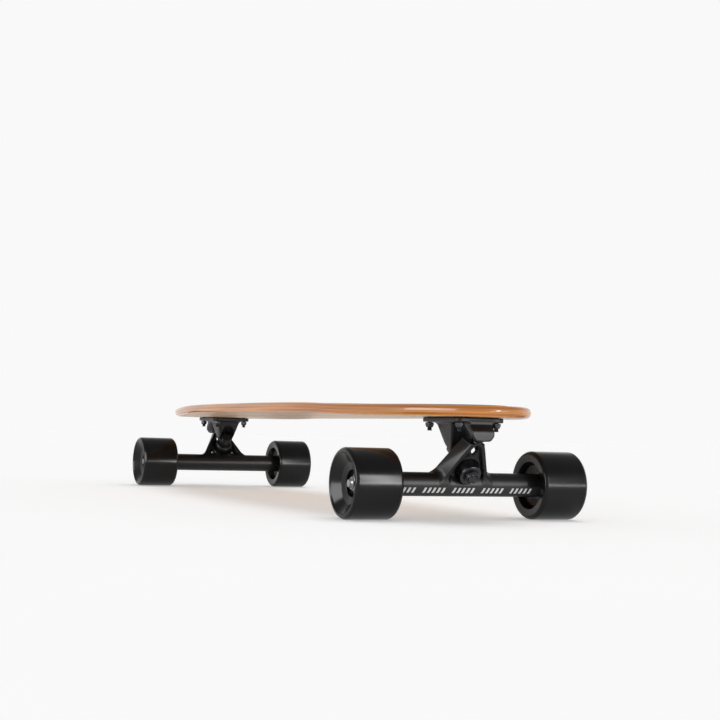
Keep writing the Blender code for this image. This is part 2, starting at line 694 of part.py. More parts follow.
def add_truck(name, x, turn, shapes, materials, model):
    """Places one truck and its wheels. The hanger and the wheels hang on empties at their pivots."""
    frame = Matrix.Translation((x, 0, 0)) @ Matrix.Rotation(turn, 4, "Z")
    base = bpy.data.objects.new(f"{name}_truck_frame", None)
    base.matrix_world = frame
    model.objects.link(base)
    steering = bpy.data.objects.new(f"{name}_steering_pivot", None)
    steering.parent = base
    steering.matrix_local = Matrix.Translation(SEAT_CENTRE)
    model.objects.link(steering)
    to_steering = Matrix.Translation(-SEAT_CENTRE)

    fixed = {
        "baseplate": "black_casting", "pivot_cup": "bushing_urethane", "kingpin": "black_steel",
        "kingpin_nut": "black_steel", "board_bushing": "bushing_urethane",
        "road_bushing": "bushing_urethane", "board_washer": "black_steel",
        "road_washer": "black_steel",
    }
    for part, slot in fixed.items():
        place(f"{name}_{part}", shapes[part], materials[slot], model, base)
    place(f"{name}_hanger", shapes["hanger"], materials["black_casting"], model, steering,
          to_steering)
    place(f"{name}_axle", shapes["axle"], materials["bright_steel"], model, steering, to_steering)

    sides = {"left": 1, "right": -1}
    for side, sign in sides.items():
        local_sign = sign * round(math.cos(turn))
        facing = axis_matrix(Vector((0, 0, 0)), ACROSS * local_sign)
        hub = bpy.data.objects.new(f"{name}_{side}_wheel_pivot", None)
        hub.parent = steering
        centre = AXLE_CENTRE + ACROSS * local_sign * WHEEL_CENTRE_Y - SEAT_CENTRE
        hub.matrix_local = Matrix.Translation(centre) @ facing
        model.objects.link(hub)
        station = BEARING_START_Y - WHEEL_CENTRE_Y
        outer_station = station + BEARING_WIDTH + BEARING_SPACER_LENGTH
        nut_station = outer_station + BEARING_WIDTH + GAP
        spacer_station = station + BEARING_WIDTH + GAP
        label = f"{name}_{side}"
        place(f"{label}_wheel", shapes["wheel"], materials["black_urethane"], model, hub)
        for part, height in (("inner_bearing", station), ("outer_bearing", outer_station)):
            place(f"{label}_{part}", shapes["bearing"], materials["bright_steel"], model, hub,
                  Matrix.Translation((0, 0, height)))
        place(f"{label}_bearing_spacer", shapes["spacer"], materials["bright_steel"], model, hub,
              Matrix.Translation((0, 0, spacer_station)))
        place(f"{label}_axle_nut", shapes["axle_nut"], materials["black_steel"], model, hub,
              Matrix.Translation((0, 0, nut_station)))


def truck_shapes():
    """The meshes that both trucks share."""
    spacer_height = BEARING_SPACER_LENGTH - 2 * GAP
    spacer = [(5.6 * MM, spacer_height), (5.6 * MM, 0)]
    far = BUSHING_RADIUS - 1.2 * MM
    return {
        "baseplate": baseplate_mesh(),
        "pivot_cup": pivot_cup_mesh(),
        "kingpin": kingpin_mesh(),
        "kingpin_nut": on_kingpin(
            hexagon_nut("kingpin_nut", KINGPIN_NUT_WIDTH, KINGPIN_NUT_HEIGHT,
                        KINGPIN_RADIUS + GAP), NUT_START),
        "board_bushing": on_kingpin(bushing_mesh("board_bushing", BUSHING_RADIUS),
                                    -BUSHING_START, -1),
        "road_bushing": on_kingpin(bushing_mesh("road_bushing", far), BUSHING_START),
        "board_washer": on_kingpin(washer_mesh(), -WASHER_START, -1),
        "road_washer": on_kingpin(washer_mesh(), WASHER_START),
        "hanger": hanger_mesh(),
        "axle": axle_mesh(),
        "wheel": wheel_mesh(),
        "bearing": bearing_mesh(),
        "spacer": ring_mesh("spacer", spacer, BEARING_BORE_RADIUS, 20),
        "axle_nut": hexagon_nut("axle_nut", AXLE_NUT_WIDTH, AXLE_NUT_HEIGHT, AXLE_RADIUS + GAP),
    }


def build():
    model = make_collection("skateboard")
    materials = {name: make_material(name, settings) for name, settings in MATERIALS.items()}
    place("deck", deck_mesh(), materials["varnished_ply"], model)
    place("grip_tape", grip_mesh(), materials["grip"], model)

    bolt = bolt_mesh()
    nut = hexagon_nut("deck_nut", BOLT_NUT_WIDTH, BOLT_NUT_HEIGHT, BOLT_RADIUS + GAP)
    bolt_top = DECK_UNDERSIDE + DECK_THICKNESS
    nut_bottom = FLANGE_BOTTOM - GAP - BOLT_NUT_HEIGHT
    for name, x, y in bolt_centres():
        place(f"{name}_deck_bolt", bolt, materials["black_steel"], model,
              matrix=Matrix.Translation((x, y, bolt_top)))
        place(f"{name}_deck_nut", nut, materials["black_steel"], model,
              matrix=Matrix.Translation((x, y, nut_bottom)))

    shapes = truck_shapes()
    for name, (x, turn) in TRUCKS.items():
        add_truck(name, x, turn, shapes, materials, model)


clear_scene()
HELPERS = make_collection("helpers")
build()
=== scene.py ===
"""The looks of the skateboard: fine meshes, materials, floor, light and camera around the CAD frame.

Shapes are worked out in millimetres and turned into metres when a mesh is made. Each truck is drawn
in its own frame, as in the CAD: x outboard, y across, z up from the ground below its axle.
"""

import json
import math

import bmesh
import bpy
import numpy as np
from mathutils import Matrix, Vector


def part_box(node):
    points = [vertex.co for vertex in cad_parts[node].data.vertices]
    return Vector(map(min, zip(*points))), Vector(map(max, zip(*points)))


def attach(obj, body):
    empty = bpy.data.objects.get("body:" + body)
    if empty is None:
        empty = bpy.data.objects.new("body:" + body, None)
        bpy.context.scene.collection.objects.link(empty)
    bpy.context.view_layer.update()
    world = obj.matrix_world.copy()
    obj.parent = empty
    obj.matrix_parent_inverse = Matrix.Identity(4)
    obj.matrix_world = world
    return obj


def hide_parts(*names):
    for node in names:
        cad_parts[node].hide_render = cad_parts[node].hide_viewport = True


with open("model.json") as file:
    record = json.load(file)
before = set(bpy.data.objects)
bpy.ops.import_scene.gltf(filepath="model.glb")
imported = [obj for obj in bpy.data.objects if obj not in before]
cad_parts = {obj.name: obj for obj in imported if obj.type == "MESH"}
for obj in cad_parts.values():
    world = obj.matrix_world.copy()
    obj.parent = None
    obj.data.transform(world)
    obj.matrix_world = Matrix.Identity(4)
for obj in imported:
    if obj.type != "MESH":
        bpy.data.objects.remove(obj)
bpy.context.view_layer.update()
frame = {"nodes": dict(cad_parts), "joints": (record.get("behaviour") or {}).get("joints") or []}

MM = 0.001
MERGE_DISTANCE = 0.002

# Places read from the frame
JOINTS = {joint["name"]: joint for joint in frame["joints"]}
AXLE_X = JOINTS["front_left_spin"]["pos_m"][0]
WHEEL_Y = JOINTS["front_left_spin"]["pos_m"][1]
AXLE_Z = JOINTS["front_left_spin"]["pos_m"][2]
TRUCKS = {"front": 1, "rear": -1}
SIDES = {"left": 1, "right": -1}
DECK_LOW, DECK_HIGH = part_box("deck")
DECK_LENGTH = (DECK_HIGH.x - DECK_LOW.x) / MM
DECK_WIDTH = 234.0
DECK_UNDERSIDE = DECK_LOW.z / MM
DECK_THICKNESS = 11.0
DECK_TOP = DECK_UNDERSIDE + DECK_THICKNESS

# Deck, as in the CAD
DECK_CONCAVE = 3.5
FLAT_HALF_WIDTH = 45.0
FADE_START = 190.0
FADE_END = 345.0
OUTLINE_POWERS = (2.5, 2.2)
EDGE_ROUND = 5.1
OUTLINE_POINTS = 288
EDGE_STEPS = 18
FACE_RINGS = 26
GRIP_LIFT = 0.3
GRIP_THICKNESS = 0.6
GRIP_INSET = 22.0
PLY_COUNT = 7
BOLT_HEAD_RADIUS = 4.6
BOLT_HEAD_HEIGHT = 2.8
BOLT_HOLE_RADIUS = 2.8

# Truck geometry, as in the CAD
GAP = 0.3
AXLE_HEIGHT = AXLE_Z / MM
HANGER_HALF = 90.0
TUBE_RADIUS = 12.0
KINGPIN_TILT = math.radians(38)
STEERING_ANGLE = math.radians(45)
SEAT = np.array([9.1, 0.0, 54.05])
KINGPIN_AXIS = np.array([math.cos(KINGPIN_TILT), 0.0, -math.sin(KINGPIN_TILT)])
YOKE_UP = np.array([math.sin(KINGPIN_TILT), 0.0, math.cos(KINGPIN_TILT)])
STEERING_AXIS = np.array([math.cos(STEERING_ANGLE), 0.0, math.sin(STEERING_ANGLE)])
ACROSS = np.array([0.0, 1.0, 0.0])
PIVOT = SEAT + STEERING_AXIS * 39.0
PIVOT_CUP_TILT = math.radians(68)
PIVOT_CUP_AXIS = np.array([math.cos(PIVOT_CUP_TILT), 0.0, math.sin(PIVOT_CUP_TILT)])
AXLE_CENTRE = np.array([0.0, 0.0, AXLE_HEIGHT])
FLANGE_TOP = DECK_UNDERSIDE - GAP
FLANGE_BOTTOM = FLANGE_TOP - 5.0
FLANGE_OFFSET = 2.0
BOLT_SPACING = (64.0, 41.3)
YOKE_HALF = 2.8
BUSHING_RADIUS = 11.8
BUSHING_LENGTH = 10.9
WASHER_RADIUS = 11.3
WASHER_THICKNESS = 2.0
BUSHING_START = YOKE_HALF + GAP
WASHER_START = BUSHING_START + BUSHING_LENGTH + GAP
NUT_START = WASHER_START + WASHER_THICKNESS + GAP
LEG_FACE = -(WASHER_START + WASHER_THICKNESS + GAP)
LEG_BACK = LEG_FACE - 9.5
KINGPIN_RADIUS = 4.75
KINGPIN_NUT = (14.3, 4.4)
KINGPIN_END = NUT_START + KINGPIN_NUT[1] + 0.5
KINGPIN_HEAD = 5.5
CASTING_STEP = 0.7

# Threads: rings in each turn, and depths as shares of the pitch
THREAD_RINGS = 7
THREAD_DEPTH = 0.55
THREAD_TIP = 0.35


# ---------------------------------------------------------------- meshes

def linked(name, data):
    """A new object in the scene."""
    item = bpy.data.objects.new(name, data)
    bpy.context.scene.collection.objects.link(item)
    return item


def object_from(name, vertices, faces, material, smooth_angle=35, indices=None):
    """An object from vertices in millimetres, with a material index for each face where given."""
    mesh = bpy.data.meshes.new(name)
    mesh.from_pydata((np.asarray(vertices, float) * MM).tolist(), [], faces)
    if indices is not None:
        mesh.polygons.foreach_set("material_index", indices)
    shape = bmesh.new()
    shape.from_mesh(mesh)
    bmesh.ops.remove_doubles(shape, verts=shape.verts, dist=MERGE_DISTANCE * MM)
    bmesh.ops.recalc_face_normals(shape, faces=shape.faces)
    shape.to_mesh(mesh)
    shape.free()
    return object_of(name, mesh, material, smooth_angle)


def object_of(name, mesh, material, smooth_angle=35):
    """An object of a mesh, smooth except where faces meet at more than the angle."""
    mesh.shade_smooth()
    mesh.set_sharp_from_angle(angle=math.radians(smooth_angle))
    if material is not None and not mesh.materials:
        mesh.materials.append(material)
    return linked(name, mesh)


def filleted(path, closed=True, steps=5):
    """A profile whose corners (radius, height, fillet) become arcs."""
    points = []
    count = len(path)
    for index, (radius, height, fillet) in enumerate(path):
        corner = Vector((radius, height))
        if fillet == 0 or (not closed and index in (0, count - 1)):
            points.append(corner)
            continue
        before = (Vector(path[index - 1][:2]) - corner).normalized()
        after = (Vector(path[(index + 1) % count][:2]) - corner).normalized()
        half = before.angle(after) / 2
        centre = corner + (before + after).normalized() * (fillet / math.sin(half))
        reach = fillet / math.tan(half)
        start, end = corner + before * reach - centre, corner + after * reach - centre
        points.extend(centre + start.slerp(end, step / steps).normalized() * fillet
                      for step in range(steps + 1))
    return [(point.x, point.y) for point in points]


def hexagon_limit(width, angle):
    """The distance from the middle of a hexagon to its side, for its width across the flats."""
    return width / 2 / math.cos((angle % (math.pi / 3)) - math.pi / 6)


def ring_at(radius, height, segments=32, width=None):
    """A ring of vertices, kept inside a hexagon where its width is given."""
    ring = []
    for step in range(segments):
        angle = 2 * math.pi * step / segments
        reach = min(radius, hexagon_limit(width, angle)) if width else radius
        ring.append((reach * math.cos(angle), reach * math.sin(angle), height))
    return ring


def ring_quads(rings, segments, closed=False):
    """Quads between neighbouring rings, and from the last back to the first if closed."""
    quads = []
    for ring in range(rings if closed else rings - 1):
        near, far = ring * segments, (ring + 1) % rings * segments
        for step in range(segments):
            turn = (step + 1) % segments
            quads.append((near + step, near + turn, far + turn, far + step))
    return quads


def turned(name, profile, material, segments=96, closed=True, hexes=None, bands=None):
    """A solid turned about z. hexes gives a width for each point whose ring is kept inside a hexagon.
    bands gives a material index for each stretch of the profile."""
    vertices = []
    for index, (radius, height) in enumerate(profile):
        vertices.extend(ring_at(radius, height, segments, hexes[index] if hexes else None))
    faces = ring_quads(len(profile), segments, closed)
    indices = np.repeat(bands, segments).tolist() if bands else None
    return object_from(name, vertices, faces, material, indices=indices)


def threaded(radius, pitch, start, end, segments):
    """Rings of vertices for a helical thread along z, which tapers at its end."""
    count = max(2, int((end - start) / pitch * THREAD_RINGS))
    rings = []
    for number in range(count + 1):
        height = start + (end - start) * number / count
        to_end = (end - height) / pitch
        taper = max(0.0, min(1.0, to_end, (height - start) / pitch))
        ring = []
        for step in range(segments):
            phase = (height / pitch - step / segments) % 1
            depth = THREAD_DEPTH * pitch * (1 - abs(2 * phase - 1)) * taper
            angle = 2 * math.pi * step / segments
            reach = radius - depth - THREAD_TIP * pitch * (1 - max(0.0, min(1.0, to_end)))
            ring.append((reach * math.cos(angle), reach * math.sin(angle), height))
        rings.append(ring)
    return rings


def stacked(name, rings, material, segments):
    """A solid rod: rings of vertices joined in order, with a face at each end."""
    vertices = [vertex for ring in rings for vertex in ring]
    faces = ring_quads(len(rings), segments)
    faces.append(tuple(range(segments)))
    faces.append(tuple(range(len(vertices) - segments, len(vertices))))
    return object_from(name, vertices, faces, material)


def cut_away(item, tools):
    """Cuts tools out of an item's mesh, then removes them."""
    for tool in tools:
        modifier = item.modifiers.new(tool.name, "BOOLEAN")
        modifier.operation = "DIFFERENCE"
        modifier.solver = "EXACT"
        modifier.object = tool
    bpy.context.view_layer.update()
    evaluated = item.evaluated_get(bpy.context.evaluated_depsgraph_get())
    mesh = bpy.data.meshes.new_from_object(evaluated)
    item.modifiers.clear()
    item.data = mesh
    for tool in tools:
        bpy.data.objects.remove(tool, do_unlink=True)
    mesh.set_sharp_from_angle(angle=math.radians(35))


# ---------------------------------------------------------------- castings from distance fields

def smooth_min(first, second, reach):
    """The union of two distance fields, with a fillet of about reach between them."""
    blend = np.maximum(reach - np.abs(first - second), 0) / reach
    return np.minimum(first, second) - blend * blend * reach / 4


def smooth_max(first, second, reach):
    return -smooth_min(-first, -second, reach)


def cylinder(points, start, end, radius, edge=0.8, end_radius=None):
    """The distance to a cylinder or cone with rounded rims."""
    span = end - start
    length = float(np.linalg.norm(span))
    direction = (span / length).astype(np.float32)
    offset = points - start.astype(np.float32)
    along = offset @ direction
    radial = np.linalg.norm(offset - along[:, None] * direction, axis=1)
    if end_radius is None:
        side = radial - radius
    else:
        share = np.clip(along / length, 0, 1)
        side = radial - (radius + (end_radius - radius) * share)
    return smooth_max(side, np.maximum(-along, along - length), edge)


def ball(points, centre, radius):
    return np.linalg.norm(points - centre.astype(np.float32), axis=1) - radius


def hull_planes(corners):
    """The planes of the convex solid around some corners, as normals and offsets."""
    shape = bmesh.new()
    for corner in corners:
        shape.verts.new(corner)
    bmesh.ops.convex_hull(shape, input=shape.verts)
    bmesh.ops.recalc_face_normals(shape, faces=shape.faces)
    bmesh.ops.dissolve_limit(shape, angle_limit=math.radians(0.5), verts=shape.verts, edges=shape.edges)
    normals = np.array([face.normal for face in shape.faces], np.float32)
    offsets = np.array([face.normal.dot(face.verts[0].co) for face in shape.faces], np.float32)
    shape.free()
    return normals, offsets


def hull_distance(points, planes, softness):
    """The distance to a convex solid whose edges are rounded by softness."""
    normals, offsets = planes
    distances = points @ normals.T - offsets
    highest = distances.max(axis=1)
    total = np.exp((distances - highest[:, None]) / softness).sum(axis=1)
    return highest + softness * np.log(total)


def surface_net(field, inside, low, step):
    """Quads around the zero surface of a field sampled on a regular grid."""
    offsets = [(i, j, k) for i in (0, 1) for j in (0, 1) for k in (0, 1)]
    cells = tuple(size - 1 for size in field.shape)
    count = np.zeros(cells, np.int8)
    for i, j, k in offsets:
        count += inside[i:i + cells[0], j:j + cells[1], k:k + cells[2]]
    active = np.argwhere((count > 0) & (count < 8))
    index = np.full(cells, -1, np.int64)
    index[tuple(active.T)] = np.arange(len(active))
    total = np.zeros((len(active), 3))
    crossings = np.zeros(len(active))
    for first in offsets:
        for axis in range(3):
            if first[axis]:
                continue
            second = tuple(1 if other == axis else value for other, value in enumerate(first))
            here = field[tuple((active + first).T)]
            there = field[tuple((active + second).T)]
            crosses = (here < 0) != (there < 0)
            share = np.where(crosses, here / np.where(crosses, here - there, 1), 0)
            spot = np.array(first, float) + share[:, None] * np.eye(3)[axis]
            total += spot * crosses[:, None]
            crossings += crosses
    vertices = (active + total / crossings[:, None]) * step + low
    faces = []
    for axis in range(3):
        first, second = (axis + 1) % 3, (axis + 2) % 3
        near = [slice(1, -1)] * 3
        near[axis] = slice(0, -1)
        far = list(near)
        far[axis] = slice(1, None)
        edges = np.argwhere(inside[tuple(near)] != inside[tuple(far)])
        edges[:, first] += 1
        edges[:, second] += 1
        leaving = inside[tuple(edges.T)]
        quad = []
        for shift_first, shift_second in ((-1, -1), (0, -1), (0, 0), (-1, 0)):
            cell = edges.copy()
            cell[:, first] += shift_first
            cell[:, second] += shift_second
            quad.append(index[tuple(cell.T)])
        quad = np.stack(quad, 1)
        quad[~leaving] = quad[~leaving][:, ::-1]
        faces.append(quad)
    return vertices, np.concatenate(faces)


def in_chunks(distance, points, size=150000):
    pieces = np.array_split(points, max(1, len(points) // size))
    return np.concatenate([distance(piece) for piece in pieces])


def casting(name, distance, low, high, material, step=CASTING_STEP):
    """A mesh on the zero surface of a distance function, settled onto it exactly."""
    axes = [np.arange(a, b, step, dtype=np.float32) for a, b in zip(low, high)]
    grid = np.stack(np.meshgrid(*axes, indexing="ij"), -1)
    field = in_chunks(distance, grid.reshape(-1, 3)).reshape(grid.shape[:3])
    vertices, faces = surface_net(field, field < 0, np.array(low), step)
    points = vertices.astype(np.float32)
    tiny = 0.02
    for _ in range(3):
        value = in_chunks(distance, points)
        slope = np.stack([
            (in_chunks(distance, points + tiny * np.eye(3, dtype=np.float32)[axis]) - value) / tiny
            for axis in range(3)
        ], 1)
        move = slope * (value / np.maximum((slope ** 2).sum(1), 0.2))[:, None]
        points -= np.clip(move, -step / 2, step / 2)
    mesh = bpy.data.meshes.new(name)
    mesh.from_pydata((points.astype(float) * MM).tolist(), [], faces.tolist())
    return object_of(name, mesh, material, 50)


def yoke_point(across, up, along):
    return SEAT + ACROSS * across + YOKE_UP * up + KINGPIN_AXIS * along


def along_kingpin(distance):
    return SEAT + KINGPIN_AXIS * distance


def turn_from_z(direction):
    return Vector((0, 0, 1)).rotation_difference(Vector(direction)).to_matrix()


def circle_corners(centre, direction, radius, count=16):
    turn = turn_from_z(direction)
    angles = [2 * math.pi * step / count for step in range(count)]
    return [Vector(centre) + turn @ Vector((radius * math.cos(a), radius * math.sin(a), 0)) for a in angles]


def mirrored(*corners):
    return [(x, side * y, z) for x, y, z in corners for side in (-1, 1)]


# Corners of the hanger's yoke, as (across, up the web, along the kingpin)
ARM_FOOT = ((24, -13, -6), (31, -13, -6), (23, -15, 10.5), (27.5, -15, 10.5))
ARM_CROWN = ((3, 27, -12), (8, 27, -12), (3, 33, 7.5), (7.5, 33, 7.5))
CROWN_FRONT_FOOT = (5, 29.3, 6)
WEB_CORNERS = ((27, -15, -YOKE_HALF), (27, -15, YOKE_HALF), (5.5, 32, 1.5), (5.5, 32, 6))
WINDOW = ((3.9, 69.8), (-3.9, 69.8), (0, 75.2), (0, 64.4))
HOLE_Y = 15.5
HOLE_Z = 49.6
HOLE_RADIUS = 1.7


def yoke_planes(corners, sides=(-1, 1)):
    return hull_planes([yoke_point(side * across, up, along)
                        for side in sides for across, up, along in corners])


def hanger_distance():
    """The distance function of the hanger's casting."""
    arms = [yoke_planes((*ARM_FOOT, *ARM_CROWN), (side,)) for side in (-1, 1)]
    crown = yoke_planes((*ARM_CROWN, CROWN_FRONT_FOOT))
    web = yoke_planes(WEB_CORNERS)
    window = hull_planes([(along, across, height) for along in (0, 56) for across, height in WINDOW])
    seat_radius = BUSHING_RADIUS + 0.5

    def distance(points):
        reach = ACROSS * HANGER_HALF
        body = cylinder(points, AXLE_CENTRE - reach, AXLE_CENTRE + reach, TUBE_RADIUS, 1.6)
        reach = ACROSS * (HANGER_HALF + 0.7)
        shoulder = cylinder(points, AXLE_CENTRE - reach, AXLE_CENTRE + reach, 6.0, 0.3)
        body = np.minimum(body, shoulder)
        yoke = hull_distance(points, web, 0.35)
        ring = cylinder(points, along_kingpin(-5), along_kingpin(5), 14.0, 1.2)
        yoke = smooth_min(yoke, ring, 2.5)
        for arm in arms:
            yoke = smooth_min(yoke, hull_distance(points, arm, 0.45), 3.0)
        yoke = smooth_min(yoke, hull_distance(points, crown, 0.45), 2.0)
        stem = cylinder(points, yoke_point(0, 31, 3.4), PIVOT - STEERING_AXIS * 3, 4.2, 0.5, 3.4)
        yoke = smooth_min(yoke, stem, 1.5)
        yoke = np.minimum(yoke, ball(points, PIVOT, 4.6))
        body = smooth_min(body, yoke, 5.5)
        reach = ACROSS * (HANGER_HALF + 6)
        bore = cylinder(points, AXLE_CENTRE - reach, AXLE_CENTRE + reach, 4.2, 0.2)
        body = smooth_max(body, -bore, 0.3)
        hole = cylinder(points, along_kingpin(-22), along_kingpin(22), 6.8, 0.2)
        body = smooth_max(body, -hole, 0.5)
        for sign in (-1, 1):
            seat = cylinder(points, along_kingpin(sign * YOKE_HALF), along_kingpin(sign * 22),
                            seat_radius, 0.6)
            body = smooth_max(body, -seat, 0.9)
        body = smooth_max(body, -hull_distance(points, window, 0.5), 0.8)
        for sign in (-1, 1):
            inboard = np.array([-14, sign * HOLE_Y, HOLE_Z])
            hole = cylinder(points, inboard, inboard + np.array([34.0, 0, 0]), HOLE_RADIUS, 0.2)
            body = smooth_max(body, -hole, 0.5)
        return body

    return distance


def baseplate_distance():
    """The distance function of the baseplate's casting."""
    corner = 7.0
    flange_half = (39.0 - corner, 27.5 - corner)
    top = FLANGE_BOTTOM + 1
    leg = hull_planes([
        *mirrored((-24, 17.5, top), (13, 17.5, top)),
        *circle_corners(along_kingpin(LEG_FACE), KINGPIN_AXIS, 8.9),
        *circle_corners(along_kingpin(LEG_BACK), KINGPIN_AXIS, 8.9),
    ])
    housing = hull_planes([
        *mirrored((23, 12.5, top), (39, 12.5, top), (46, 12.5, 88.5), (46, 12.5, 83), (46, 7, 77.4)),
        *circle_corners(PIVOT - PIVOT_CUP_AXIS * 0.6, PIVOT_CUP_AXIS, 8.0),
    ])
    cup_top = PIVOT + PIVOT_CUP_AXIS * (5.8 + GAP)
    cup_mouth = PIVOT - PIVOT_CUP_AXIS * 15

    def distance(points):
        plan = np.abs(points[:, :2] - np.array([FLANGE_OFFSET, 0], np.float32))
        plan = plan - np.array(flange_half, np.float32)
        side = np.linalg.norm(np.maximum(plan, 0), axis=1)
        side = side + np.minimum(plan.max(axis=1), 0) - corner
        slab = np.maximum(points[:, 2] - FLANGE_TOP, FLANGE_BOTTOM - points[:, 2])
        body = smooth_max(side, slab, 1.3)
        body = smooth_min(body, hull_distance(points, leg, 0.6), 4.0)
        nose = hull_distance(points, housing, 0.45)
        nose = np.maximum(nose, 77.4 - points[:, 2])
        body = smooth_min(body, nose, 3.5)
        body = smooth_max(body, points[:, 2] - FLANGE_TOP, 0.3)
        for side_x in (-1, 1):
            for side_y in (-1, 1):
                centre = np.array([FLANGE_OFFSET + side_x * BOLT_SPACING[0] / 2,
                                   side_y * BOLT_SPACING[1] / 2, 0])
                low = centre + np.array([0, 0, FLANGE_BOTTOM - 20])
                high = centre + np.array([0, 0, FLANGE_TOP + 20])
                pad_low = centre + np.array([0, 0, FLANGE_BOTTOM - 12])
                pad_high = centre + np.array([0, 0, FLANGE_BOTTOM])
                body = smooth_max(body, -cylinder(points, pad_low, pad_high, 6.6, 0.6), 0.5)
                body = smooth_max(body, -cylinder(points, low, high, BOLT_HOLE_RADIUS, 0.2), 0.4)
        shank = cylinder(points, along_kingpin(LEG_BACK - 20), along_kingpin(5), 5.1, 0.2)
        body = smooth_max(body, -shank, 0.4)
        pocket = cylinder(points, along_kingpin(LEG_BACK - 30), along_kingpin(LEG_BACK), 10.0, 0.5)
        body = smooth_max(body, -pocket, 0.8)
        cup = cylinder(points, cup_mouth, cup_top, 6.0 + GAP, 0.3)
        return smooth_max(body, -cup, 0.5)

    return distance


# ---------------------------------------------------------------- materials

def fill_ramp(ramp, stops):
    """Sets a colour ramp's stops, each (position, colour)."""
    while len(ramp.elements) < len(stops):
        ramp.elements.new(0.5)
    for element, (position, colour) in zip(ramp.elements, stops):
        element.position = position
        element.color = (*colour, 1)


class Paint:
    """A procedural material under construction."""

    def __init__(self, name, roughness, metallic=0.0, **sockets):
        self.material = bpy.data.materials.new(name)
        self.material.use_nodes = True
        self.tree = self.material.node_tree
        self.shader = self.tree.nodes["Principled BSDF"]
        self.shader.inputs["Roughness"].default_value = roughness
        self.shader.inputs["Metallic"].default_value = metallic
        for socket, value in sockets.items():
            self.shader.inputs[socket.replace("_", " ")].default_value = value
        self.place = self.node("ShaderNodeTexCoord").outputs["Object"]

    def feed(self, target, value):
        """Links an output to a socket, or sets the socket to a value."""
        if isinstance(value, bpy.types.NodeSocket):
            self.tree.links.new(value, target)
        else:
            target.default_value = value

    def node(self, kind, inputs=None, **settings):
        made = self.tree.nodes.new(kind)
        for key, value in settings.items():
            setattr(made, key, value)
        for socket, value in (inputs or {}).items():
            self.feed(made.inputs[socket], value)
        return made

    def noise(self, scale, detail=4.0, stretch=(1, 1, 1), distortion=0.0):
        mapping = self.node("ShaderNodeMapping", {"Scale": stretch, "Vector": self.place})
        made = self.node("ShaderNodeTexNoise", {"Scale": scale, "Detail": detail, "Distortion": distortion,
                                                "Vector": mapping.outputs["Vector"]})
        return made.outputs["Fac"]

    def cells(self, scale):
        made = self.node("ShaderNodeTexVoronoi", {"Scale": scale, "Vector": self.place})
        return made.outputs["Distance"]

    def ramp(self, source, stops):
        made = self.node("ShaderNodeValToRGB", {"Fac": source})
        fill_ramp(made.color_ramp, stops)
        return made.outputs["Color"]

    def maths(self, operation, first, second=0.0):
        return self.node("ShaderNodeMath", {0: first, 1: second}, operation=operation).outputs["Value"]

    def mixed(self, share, first, second, blend="MIX"):
        made = self.node("ShaderNodeMix", data_type="RGBA", blend_type=blend)
        for socket, value in ((0, share), (6, first), (7, second)):
            self.feed(made.inputs[socket], (*value, 1) if isinstance(value, tuple) else value)
        return made.outputs[2]

    def ranged(self, source, low, high):
        made = self.node("ShaderNodeMapRange", {"To Min": low, "To Max": high, "Value": source})
        return made.outputs["Result"]

    def finished(self, colour, roughness, bumps):
        """The material, with a chain of bumps, each (height, strength, distance in millimetres)."""
        self.feed(self.shader.inputs["Base Color"], colour)
        self.feed(self.shader.inputs["Roughness"], roughness)
        target = self.shader.inputs["Normal"]
        for height, strength, distance in reversed(bumps):
            made = self.node("ShaderNodeBump", {"Height": height, "Strength": strength,
                                                "Distance": distance * MM})
            self.feed(target, made.outputs["Normal"])
            target = made.inputs["Normal"]
        return self.material


def black_casting():
    """Satin black paint on a sand-cast surface."""
    paint = Paint("black_casting", 0.38, Specular_IOR_Level=0.35)
    broad = paint.noise(60, 3)
    peel = paint.noise(700, 3)
    grain = paint.noise(2600, 2)
    colour = paint.ramp(broad, [(0.3, (0.0045, 0.0045, 0.005)), (0.7, (0.0085, 0.0085, 0.0095))])
    return paint.finished(colour, paint.ranged(peel, 0.3, 0.46),
                          [(peel, 0.25, 0.05), (grain, 0.2, 0.02)])


def black_steel():
    """Black oxide on machined steel: darker and glossier than paint, lighter and rougher in random patches.
    """
    paint = Paint("black_steel", 0.3, 0.75)
    rub = paint.noise(260, 5)
    brushed = paint.noise(900, 3, stretch=(1, 1, 6))
    colour = paint.ramp(rub, [(0.35, (0.035, 0.035, 0.038)), (0.75, (0.075, 0.075, 0.08))])
    return paint.finished(colour, paint.ranged(rub, 0.22, 0.42),
                          [(brushed, 0.2, 0.02)])


def bright_steel():
    """Zinc-plated steel with fine machining marks."""
    paint = Paint("bright_steel", 0.25, 1.0)
    cloud = paint.noise(180, 4)
    marks = paint.noise(1500, 2, stretch=(1, 1, 8))
    colour = paint.ramp(cloud, [(0.3, (0.24, 0.24, 0.25)), (0.7, (0.38, 0.38, 0.39))])
    return paint.finished(colour, paint.ranged(cloud, 0.24, 0.4),
                          [(marks, 0.15, 0.02)])


def urethane(name, roughness, tint):
    """Cast urethane: smooth and satin, with faint flow clouds and specks of dust."""
    low, high = roughness
    paint = Paint(name, low, 0.0, Specular_IOR_Level=0.25)
    cloud = paint.noise(45, 4, distortion=0.4)
    skin = paint.noise(900, 3)
    dust = paint.noise(3000, 2)
    darker = tuple(value * 0.7 for value in tint)
    colour = paint.ramp(cloud, [(0.3, darker), (0.7, tint)])
    return paint.finished(colour, paint.ranged(cloud, low, high),
                          [(skin, 0.08, 0.03), (dust, 0.08, 0.01)])


